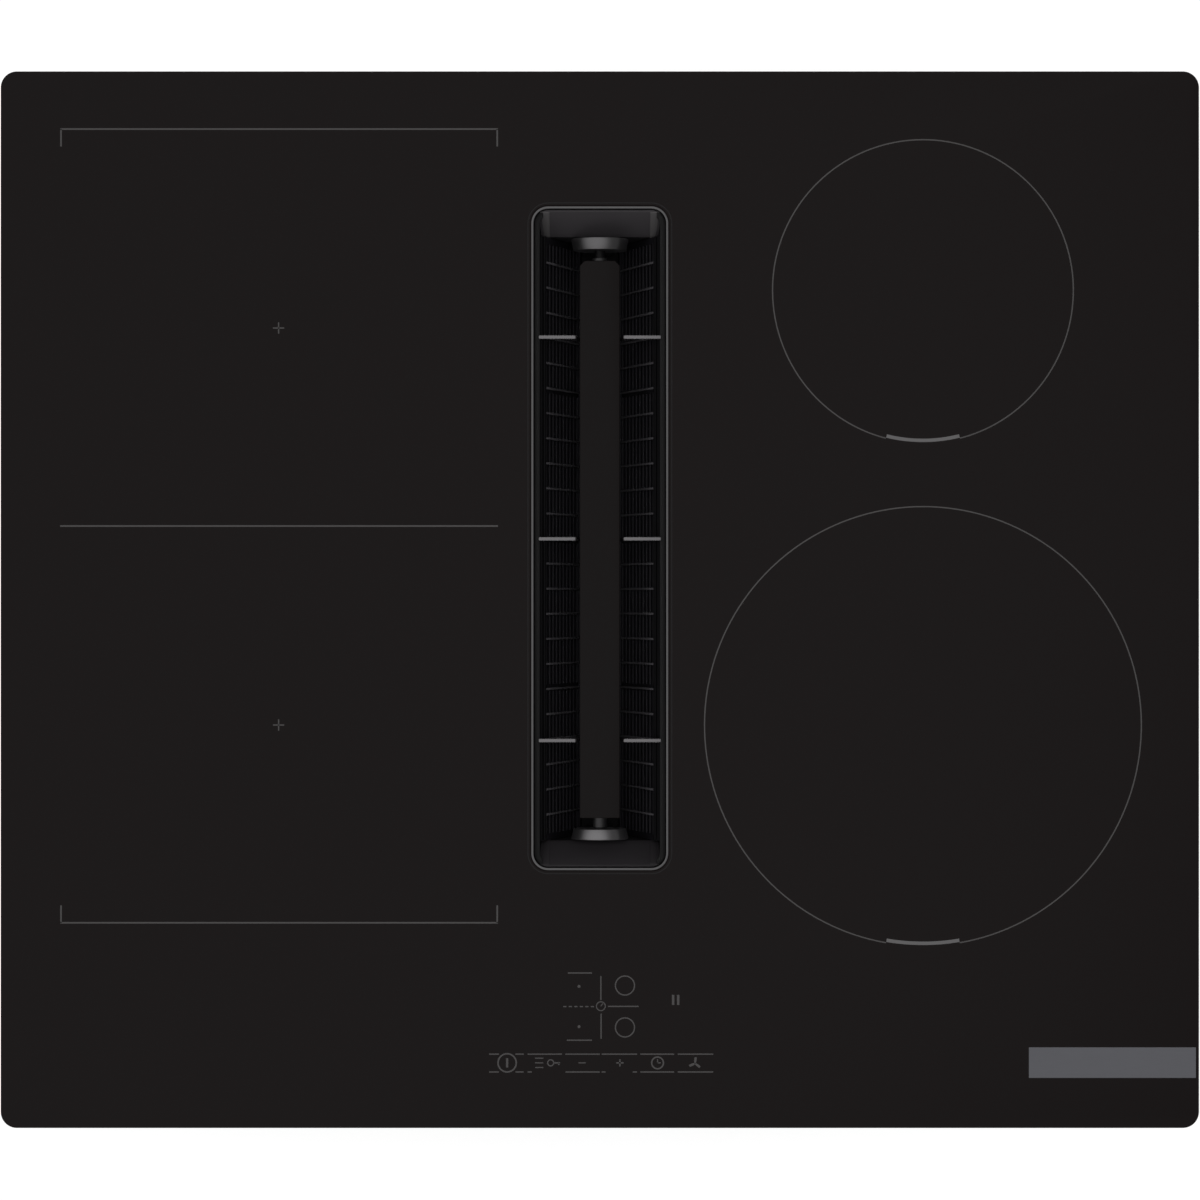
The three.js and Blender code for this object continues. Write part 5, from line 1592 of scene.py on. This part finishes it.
@dataclass
class HobCase:
    """The sheet-steel case that hangs in the worktop, with its spring clips and mains box."""

    vent: Vent
    width: float = 552
    depth: float = 482
    corner: float = 6
    bottom: float = 160
    top: float = 216.9
    wall: float = 1.2
    slot_pitch: float = 11
    fan_x: float = 154
    fan_y: float = -196
    screw_z: float = 209
    bead_z: float = 184
    mains_x: float = -233.0
    mains_y: float = 150.0
    cable_hole: float = 6.0

    def shell(self) -> None:
        """Builds the case with its air slots, its beads and its screws."""
        case = slab("case_shell", (0, 0), (self.width, self.depth), self.corner, self.bottom, self.top)
        room = (self.width - 2 * self.wall, self.depth - 2 * self.wall)
        inside = slab("room", (0, 0), room, self.corner - self.wall, self.bottom + self.wall, self.top + 1)
        low, high = self.bottom - 1, self.bottom + 3
        opening = self.vent.outline("opening", -0.3, low, high)
        hole = rod("cable_hole", self.cable_hole, low, high, (self.mains_x, self.mains_y, 0), steps=32)
        cut(case, inside, opening, hole)
        pierce = []
        for side in (-1, 1):
            for i in (-1, 0, 1):
                x = side * self.fan_x + i * self.slot_pitch
                pierce.append(slab("slot", (x, self.fan_y), (4, 44), 1.9, low, high, 4))
                pierce.append(block("slot", (x - 2, 238, 173), (x + 2, 243, 205)))
        cut(case, join("slots", *pierce))
        dressed(soften(case, 0.5), "hob", "sheet_steel", SHEET, "hob_case")
        self.beads()
        places = []
        for x in (-215, -72, 72, 215):
            places += [facing(x, s * self.depth / 2, self.screw_z, s * 90) for s in (-1, 1)]
        for y in (-215, -60, 60, 215):
            places += [facing(s * self.width / 2, y, self.screw_z, 90 - 90 * s) for s in (-1, 1)]
        dressed(screws("case_screws", places), "hob", "sheet_steel", SCREW)

    def beads(self) -> None:
        """Builds the pressed beads that stiffen the case's walls, clear of the clips and air slots."""
        flat = Matrix.Rotation(math.pi / 2, 4, "Z")
        z = self.bead_z
        long = [facing(x, -self.depth / 2, z, -90) @ flat for x in (-160, 0, 160)]
        long.append(facing(0, self.depth / 2, z, 90) @ flat)
        short = [facing(s * self.width / 2, y, z, 90 - 90 * s) @ flat for s in (-1, 1) for y in (-60, 60)]
        parts = [repeated("long_beads", self.bead(140), long), repeated("short_beads", self.bead(104), short)]
        dressed(join("case_beads", *parts), "hob", "sheet_steel", SHEET)

    @staticmethod
    def bead(length: float) -> Piece:
        """A pressed bead with round ends, standing on the plane z 0 along x.

        Args:
            length: Its length.

        Returns:
            The bead.
        """
        return soften(slab("bead", (0, 0), (length, 10), 4.9, -0.2, 1.1), 0.9, 4)

    def clips(self) -> None:
        """Builds the four spring clips that hold the case in the cut-out."""
        top, height, thickness, bulge = 210.9, 34.0, 0.8, 3.0
        face = self.width / 2 + 0.3
        steps, flat = 20, 0.3
        line = []
        for i in range(steps + 1):
            share = i / steps
            out = bulge * max(0.0, math.sin(math.pi * min(max((share - flat) / (1 - flat), 0), 1))) * 0.8
            line.append((face + out, top - height * share))
        outline = line + [(x + thickness, z) for x, z in reversed(line)]
        clip = prism("clip", outline, -12, 12, Axis.Y)
        soften(clip, 0.2, 1)
        for end_name, y in (("front", -150), ("rear", 150)):
            for side_name, side in (("left", 180), ("right", 0)):
                made = placed(clip, step(y=y) @ Matrix.Rotation(math.radians(side), 4, "Z"))
                made.name = f"clip_{end_name}_{side_name}"
                dressed(made, "hob", "spring_steel", SPRING, f"worktop_clip_{end_name}_{side_name}")
        bpy.data.objects.remove(clip)

    def mains(self) -> None:
        """Builds the mains terminal box and its cable gland."""
        x, y, low, high, wall, exit_y = self.mains_x, self.mains_y, 129.7, 159.7, 2.0, 192.3
        middle = (low + high) / 2
        box = slab("terminal_cover", (x, y), (58, 84), 5, low, high)
        cut(
            box,
            slab("room", (x, y), (54, 80), 3, low + wall, high + 1),
            rod("exit", self.cable_hole, 188, 194, (x, 0, middle), Axis.Y, 32),
        )
        rib = block("cover_rib", (x - 22, y - 30, low - 0.6), (x - 20, y + 30, low + 0.5))
        ribs = repeated("cover_ribs", soften(rib, 0.3), [step(x=i * 6) for i in range(8)])
        cover = join("terminal_cover", soften(box, 1.0, 3), ribs)
        dressed(cover, "hob", "cassette_plastic", PVC, "mains_terminal_box")
        places = [facing(x + dx, y - 42, 152, -90) for dx in (-20, 20)]
        dressed(screws("terminal_screws", places, 2.6), "hob", "sheet_steel", SCREW)
        gland = [(self.cable_hole, 0.0), (9.5, 0.0), (9.5, 7.0), (9.3, 8.2)]
        gland += [(9.3 - 0.4 * (i % 2), 8.2 + i * 0.7) for i in range(1, 9)]
        gland += [(8.0, 15.2), (6.6, 16.0), (self.cable_hole, 16.0), (self.cable_hole, 0.0)]
        at = (x, exit_y, middle)
        dome = turned("gland_dome", gland, at, Axis.Y, 40)
        nut = rod("gland_nut", 10.9, 0.3, 6.5, at, Axis.Y, 6)
        bore = rod("bore", 8.0, -1, 8, at, Axis.Y, 40)
        made = join("gland", smooth(dome), soften(cut(nut, bore), 0.4))
        dressed(made, "hob", "cassette_plastic", PVC, "cable_gland")

    def build(self) -> None:
        """Builds the case with all that is fixed to it."""
        self.shell()
        self.clips()
        self.mains()


@dataclass
class Blower:
    """The plenum under the hob, the scroll with its wheel and motor, and the flat duct outlet."""

    vent: Vent
    x: float = 50
    y: float = 20
    wheel_radius: float = 95
    wheel_low: float = 8
    wheel_high: float = 82
    blades: int = 30
    start_radius: float = 105
    growth: float = 60
    tongue: float = 120
    wall: float = 2.5
    top: float = 92.5
    duct_width: float = 222
    outlet_y: float = 232
    plenum_low: Flat = (-190, -142)
    plenum_high: Flat = (220, 206)
    drain_x: float = -134
    drain_y: float = -20
    body: str = "blower_wheel"

    @property
    def duct_right(self) -> float:
        """The duct's inner right side, where the spiral ends."""
        return self.x + self.start_radius + self.growth

    def scroll_outline(self, offset: float) -> list[Flat]:
        """The scroll's spiral, seen from above.

        Args:
            offset: How far outside the inner face.

        Returns:
            The outline's points.
        """
        start, steps = math.radians(self.tongue), 84
        sweep = 2 * math.pi - start
        spiral = []
        for i in range(steps + 1):
            radius = self.start_radius + self.growth * i / steps + offset
            angle = start + sweep * i / steps
            spiral.append((self.x + radius * math.cos(angle), self.y + radius * math.sin(angle)))
        return spiral

    def scroll_solid(self, name: str, offset: float, low: float, high: float, end: float) -> Piece:
        """The scroll and its duct as one solid.

        Args:
            name: Its name.
            offset: How far outside the inner face.
            low: Its underside.
            high: Its top.
            end: Where the duct ends in y.

        Returns:
            The solid.
        """
        right = self.duct_right + offset
        left = self.duct_right - self.duct_width - offset
        spiral = prism(name, self.scroll_outline(offset), low, high)
        duct = prism("duct", [(left, self.y), (right, self.y), (right, end), (left, end)], low, high)
        return combine(spiral, "UNION", duct)

    def scroll(self) -> None:
        """Builds the scroll and its stiffening ribs."""
        shell = self.scroll_solid("blower_scroll", self.wall, 0, self.top, self.outlet_y)
        cut(shell, self.scroll_solid("room", 0, self.wall, self.top + 1, self.outlet_y + 2))
        parts = [soften(shell, 0.9, 3)]
        rib = soften(block("rib", (0, -1.0, 3.0), (1.8, 1.0, 86)), 0.6)
        places = []
        start, count = math.radians(self.tongue), 12
        for i in range(1, count):
            share = i / count
            angle = start + (2 * math.pi - start) * share
            radius = self.start_radius + self.growth * share + self.wall - 0.3
            x, y = self.x + radius * math.cos(angle), self.y + radius * math.sin(angle)
            places.append(step(x, y) @ Matrix.Rotation(angle, 4, "Z"))
        right = self.duct_right + self.wall - 0.3
        places += [step(right, y) for y in (60, 100, 140, 180)]
        parts.append(repeated("scroll_ribs", rib, places))
        dressed(join("blower_scroll", *parts), "hob", "housing_plastic", HOUSING, "scroll_housing")

    def spigot(self) -> None:
        """Builds the flat duct outlet with its flange and snap beads."""
        start, length = self.outlet_y + 0.3, 20.0
        middle, height = self.duct_right - self.duct_width / 2, 89.0
        lift = self.wall + (height + 1) / 2
        flange = slab("flange", (0, 0), (239, 91.9), 6, 0, 3)
        sleeve = slab("sleeve", (0, 0), (self.duct_width, height), 6, 0, length)
        bead = slab("bead", (0, 0), (224.6, height + 2.4), 7.2, 10.4, 12.4)
        beads = [placed(bead, step(z=5)), bead]
        solid = combine(sleeve, "UNION", flange, *beads)
        cut(solid, slab("bore", (0, 0), (self.duct_width - 4, height - 4), 4, -1, length + 1))
        soften(solid, 0.4)
        turn = Matrix.Rotation(-math.pi / 2, 4, "X")
        solid.data.transform(step(middle, start, lift - 0.05) @ turn)
        solid.name = "duct_spigot"
        dressed(solid, "hob", "housing_plastic", HOUSING, "outlet_spigot")

    def plenum(self) -> None:
        """Builds the plenum's housing and floor, with the inlet that dips into the scroll."""
        (x0, y0), (x1, y1) = self.plenum_low, self.plenum_high
        centre, size = ((x0 + x1) / 2, (y0 + y1) / 2), (x1 - x0, y1 - y0)
        shell = slab("plenum_box", centre, size, 18, 95.3, 159.7, 12)
        cut(
            shell,
            slab("room", centre, (size[0] - 4, size[1] - 4), 16, 94, 157.7, 12),
            self.vent.outline("opening", 1.5, 150, 161),
        )
        parts = [soften(shell, 1.2, 3)]
        rib = soften(block("rib", (-1, -0.4, 99), (1, 1.7, 150)), 0.6)
        forward, right, left = (Matrix.Rotation(math.radians(turn), 4, "Z") for turn in (180, -90, 90))
        across = [step(x, y1) for x in (-150, -105, -60, 90, 135, 180)]
        across += [step(x, y0) @ forward for x in (-150, -90, -30, 30, 90, 150, 195)]
        along = [step(x1, y) @ right for y in (-110, -60, -10, 40, 90, 140, 180)]
        along += [step(x0, y) @ left for y in (-110, -60, -10, 40, 90)]
        parts.append(repeated("plenum_ribs", rib, across + along))
        dressed(join("plenum_box", *parts), "hob", "housing_plastic", HOUSING, "plenum_housing")
        self.floor(centre, size)

    def floor(self, centre: Flat, size: Flat) -> None:
        """Builds the plenum's floor.

        Args:
            centre: Its middle.
            size: Its width and depth.
        """
        low, high = 92.8, 95.0
        at, drain_at = (self.x, self.y, 0), (self.drain_x, self.drain_y, 0)
        plate = slab("plenum_base", centre, size, 18, low, high, 12)
        right = self.duct_right + self.wall
        left = right - self.duct_width - 2 * self.wall
        combine(plate, "UNION", block("cover", (left, centre[1], low), (right, self.outlet_y, high)))
        eye = rod("eye", 69.9, low - 1, high + 1, at, steps=96)
        drain = rod("drain_hole", 8, low - 1, high + 1, drain_at, steps=40)
        soften(cut(plate, eye, drain), 0.5)
        throat, flare, dip, rise, steps = 62, 8, 85.5, 9.5, 10
        curve = [math.pi / 2 * i / steps for i in range(steps + 1)]
        inner = [(throat + flare * (1 - math.cos(a)), dip + rise * math.sin(a)) for a in curve]
        outer = [(throat + 2 + flare * (1 - math.cos(a)), min(dip + rise * math.sin(a), high)) for a in curve]
        mouth = turned("inlet", [*outer, *reversed(inner), outer[0]], at, Axis.Z, 96)
        spout = turned("drain", band(8, 10, 83.8, 93.9), drain_at, Axis.Z, 40)
        made = join("plenum_base", plate, smooth(mouth), soften(spout, 0.3))
        dressed(made, "hob", "housing_plastic", HOUSING, "plenum_floor")
        under = Matrix.Rotation(math.pi, 4, "X")
        spots = [(-176, -128), (-176, 192), (-176, 110), (206, -128)]
        spots += [(-80, -128), (60, -134), (150, -128), (-80, 192)]
        places = [step(x, y, low) @ under for x, y in spots]
        dressed(screws("plenum_screws", places), "hob", "sheet_steel", SCREW)

    def wheel(self) -> None:
        """Builds the impeller with its curved blades, back disc and rim."""
        low, high, radius = self.wheel_low, self.wheel_high, self.wheel_radius
        at = (self.x, self.y, 0)
        hub, eye, plate = 34.9, 80, 2.5
        disc = soften(turned("disc", band(hub, radius, low, low + plate), at, Axis.Z, 120), 0.4)
        rim = soften(turned("rim", band(eye, radius, high - plate, high), at, Axis.Z, 120), 0.4)
        lean, depth, camber, thickness, steps = math.radians(32), 21.0, 4.6, 1.4, 7
        shares = [i / steps for i in range(steps + 1)]
        line = [(-depth * share, -4 * camber * share * (1 - share)) for share in shares]
        outline = line + [(u, v + thickness) for u, v in reversed(line)]
        cos, sin = math.cos(lean), math.sin(lean)
        points = [(self.x + radius - 0.6 + u * cos - v * sin, self.y + u * sin + v * cos) for u, v in outline]
        blade = smooth(prism("blade", points, low + 1, high - 1))
        turns = [about(self.x, self.y, 360 * i / self.blades) for i in range(self.blades)]
        wheel = join("blower_impeller", disc, rim, repeated("blades", blade, turns))
        dressed(wheel, self.body, "cassette_plastic", CONTAINER, "impeller")

    def motor(self) -> None:
        """Builds the motor's stator and the rotor cup that turns round it."""
        at = (self.x, self.y, 0)
        stator_profile = [(2, 2.8), (46, 2.8), (46, 5.8), (18, 5.8), (18, 11.8)]
        stator_profile += [(30, 13.8), (30, 44.8), (28, 46.8), (2, 46.8)]
        stator = soften(turned("motor_stator", stator_profile, at, Axis.Z, 72), 0.4)
        dressed(stator, "hob", "sheet_steel", MOTOR, "blower_motor")
        cup_profile = [(0.5, 48.3), (31.5, 48.3), (31.5, 10.8), (42.5, 10.8), (42.5, 13.8)]
        cup_profile += [(34.5, 13.8), (34.5, 49.3), (32.5, 51.3), (26, 51.3), (25, 50.5)]
        cup_profile += [(10, 50.5), (9, 51.3), (0.5, 51.3)]
        cup = smooth(turned("motor_cup", cup_profile, at, Axis.Z, 72))
        dressed(cup, self.body, "sheet_steel", SPRING, "blower_rotor")

    def build(self) -> None:
        """Builds the whole blower."""
        self.plenum()
        self.scroll()
        self.spigot()
        self.motor()
        self.wheel()


@dataclass
class Overflow:
    """The container for spilt liquid and the lid that it snaps into."""

    x: float = -134
    y: float = -20
    low: float = 31.2
    high: float = 89.2

    def build(self) -> None:
        """Builds the lid and the container."""
        middle = (self.x, self.y)
        lid = slab("container_cap", middle, (103.6, 183.6), 13.8, 77.5, 92.5, 10)
        cut(
            lid,
            slab("room", middle, (100.6, 180.6), 12.3, 76, 89.5, 10),
            rod("drain", 10.3, 88, 94, (self.x, self.y, 0), steps=40),
        )
        dressed(soften(lid, 0.6), "hob", "housing_plastic", HOUSING, "container_lid")
        body = slab("spill_container", middle, (100, 180), 12, self.low, self.high, 10)
        cut(body, slab("room", middle, (96, 176), 10, self.low + 2, self.high + 1, 10))
        rib = soften(block("rib", (-0.9, -1.2, self.low + 4), (0.9, 0.9, 74)), 0.4)
        places = []
        for i in range(-3, 4):
            for x, turn in ((50, -90), (-50, 90)):
                out = Matrix.Rotation(math.radians(turn), 4, "Z")
                places.append(step(self.x + x, self.y + i * 22) @ out)
        for i in range(-1, 2):
            for y, turn in ((90, 0), (-90, 180)):
                out = Matrix.Rotation(math.radians(turn), 4, "Z")
                places.append(step(self.x + i * 24, self.y + y) @ out)
        made = join("spill_container", soften(body, 1.0, 3), repeated("ribs", rib, places))
        dressed(made, "container", "cassette_plastic", CONTAINER, "overflow_container")


@dataclass
class InnerWorks:
    """What the case holds: coils, boards, heat sinks and fans, which keep their own shapes."""

    coil_squeeze: float = 88 / 95

    def dress(self) -> None:
        """Gives each inner piece its finish."""
        zones = {
            "front_left": ((-159.2, -61.8), self.coil_squeeze),
            "rear_left": ((-159.2, 134.4), self.coil_squeeze),
            "front_right": ((159.2, -61.8), 1.0),
            "rear_right": ((159.2, 153.1), 1.0),
        }
        for zone, (centre, squeeze) in zones.items():
            copper = replace(STRANDS, name=f"copper strands {zone}", centre=centre, squeeze=squeeze)
            copper.dress(bpy.data.objects[f"coil_winding_{zone}"])
            CASSETTE.dress(bpy.data.objects[f"coil_carrier_{zone}"])
            CERAMIC.dress(bpy.data.objects[f"zone_sensor_{zone}"])
        for side in ("left", "right"):
            BOARD.dress(bpy.data.objects[f"power_board_{side}"])
            ALUMINIUM.dress(bpy.data.objects[f"heat_sink_{side}"])
            ALUMINIUM.dress(bpy.data.objects[f"coil_plate_{side}"])
            CASSETTE.dress(bpy.data.objects[f"cooling_fan_frame_{side}"])
            CONTAINER.dress(bpy.data.objects[f"cooling_fan_rotor_{side}"])
        COPPER.dress(bpy.data.objects["mains_choke"])
        BOARD.dress(bpy.data.objects["control_board"])
        CASSETTE.dress(bpy.data.objects["control_holder"])
        SHEET.dress(bpy.data.objects["glass_support_ring"])


# ---- Studio ---------------------------------------------------------------------------------------


@dataclass
class Studio:
    """The pale floor, the soft light and the camera straight above the glass."""

    distance: float = 2.2
    glass_top: float = 0.223
    view_width: float = 0.5928
    light: float = 0.41
    zenith: float = 0.25
    waist: float = 0.045
    tilt: float = 17.0
    # Where the white low down fades out, as a height, and the grey overhead comes in, as a nearness.
    low_fade: Flat = (0.0, 0.22)
    high_fade: Flat = (0.44, 0.93)
    floor_size: float = 14
    floor_drop: float = 0.0004
    floor_tone: float = 0.42
    floor_glow: float = 0.77
    camera_at: Flat = (0.00007, -0.00015)

    def floor(self) -> None:
        """Lays a wide pale floor that keeps the object's shadow."""
        deselect()
        bpy.ops.mesh.primitive_plane_add(size=self.floor_size, location=(0, 0, -self.floor_drop))
        floor = settle("floor")
        made = bpy.data.materials.new("pale floor")
        made.use_nodes = True
        tree = Tree(made.node_tree)
        shader = made.node_tree.nodes["Principled BSDF"]
        shader.inputs["Base Color"].default_value = (*[self.floor_tone] * 3, 1)
        shader.inputs["Roughness"].default_value = 0.9
        shader.inputs["Specular IOR Level"].default_value = 0.0
        shader.inputs["Emission Color"].default_value = (1, 1, 1, 1)
        seen = tree.maths("MULTIPLY", self.background_ray(tree), self.floor_glow)
        tree.link(seen, shader.inputs["Emission Strength"])
        floor.data.materials.append(made)

    @staticmethod
    def background_ray(tree: Tree) -> bpy.types.NodeSocket:
        """Says whether a ray sees the background: from the camera, a mirror or through glass.

        Args:
            tree: The tree to build in.

        Returns:
            1 for such a ray and 0 for one that lights a surface.
        """
        rays = tree.put("ShaderNodeLightPath").outputs
        shiny = tree.maths("MAXIMUM", rays["Is Glossy Ray"], rays["Is Transmission Ray"])
        return tree.maths("MAXIMUM", rays["Is Camera Ray"], shiny)

    def sky(self) -> None:
        """Sets the soft light. Mirrors show it white low down, dim higher up and grey overhead."""
        world = bpy.data.worlds.new("studio")
        bpy.context.scene.world = world
        world.use_nodes = True
        tree = Tree(world.node_tree)
        background = world.node_tree.nodes["Background"]
        direction = tree.put("ShaderNodeTexCoord").outputs["Generated"]
        height = tree.put("ShaderNodeSeparateXYZ", {0: direction}).outputs["Z"]
        angle = math.radians(self.tilt)
        axis = (-math.sin(angle), 0, math.cos(angle))
        along = tree.put("ShaderNodeVectorMath", {0: direction, 1: axis}, operation="DOT_PRODUCT")
        nearness = along.outputs["Value"]
        low, high = (
            tree.put(
                "ShaderNodeMapRange",
                {"Value": value, "From Min": start, "From Max": end, "To Min": near, "To Max": far},
                interpolation_type="SMOOTHSTEP",
            ).outputs[0]
            for value, (start, end), near, far in (
                (height, self.low_fade, 1.0, self.waist),
                (nearness, self.high_fade, self.waist, self.zenith),
            )
        )
        mirrored = tree.maths("MAXIMUM", low, high)
        seen = self.background_ray(tree)
        lit = tree.maths("MULTIPLY", tree.maths("SUBTRACT", 1.0, seen), self.light)
        strength = tree.maths("MULTIPLY_ADD", seen, mirrored, lit)
        tree.link(strength, background.inputs["Strength"])
        background.inputs["Color"].default_value = (1, 1, 1, 1)

    def lamps(self) -> None:
        """Hangs large soft lamps above and to the sides, out of the glass's mirror."""
        for name, place, power, size in (
            ("top lamp", (0.0, 0.2, 2.95), 29.0, 0.9),
            ("key lamp", (-2.4, -2.6, 2.6), 30.0, 3.2),
            ("fill lamp", (3.0, 1.2, 1.6), 12.0, 3.0),
        ):
            data = bpy.data.lights.new(name, "AREA")
            data.energy = power
            data.shape = "DISK"
            data.size = size
            lamp = bpy.data.objects.new(name, data)
            bpy.context.scene.collection.objects.link(lamp)
            lamp.location = place
            lamp.visible_glossy = False
            aim = Vector((0, 0, 0.15)) - Vector(place)
            lamp.rotation_euler = aim.to_track_quat("-Z", "Y").to_euler()

    def camera(self) -> None:
        """Hangs the camera straight above, so that the glass fills the photograph's width."""
        data = bpy.data.cameras.new("camera")
        data.sensor_width = 36
        data.lens = data.sensor_width * self.distance / self.view_width
        data.clip_end = 60
        camera = bpy.data.objects.new("camera", data)
        bpy.context.scene.collection.objects.link(camera)
        camera.location = (*self.camera_at, self.glass_top + self.distance)
        bpy.context.scene.camera = camera

    def build(self) -> None:
        """Builds the whole studio."""
        self.floor()
        self.sky()
        self.lamps()
        self.camera()
        bpy.context.scene.view_settings.view_transform = "Standard"


def main() -> None:
    """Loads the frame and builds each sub-assembly round it."""
    logging.basicConfig(level=logging.INFO, format="%(message)s")
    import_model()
    Studio().build()
    vent = Vent()
    outside = (GlassTop(vent), Print(vent), FilterCassette(vent), HobCase(vent), Blower(vent), Overflow())
    for assembly in outside:
        assembly.build()
    InnerWorks().dress()


if __name__ == "__main__":
    main()
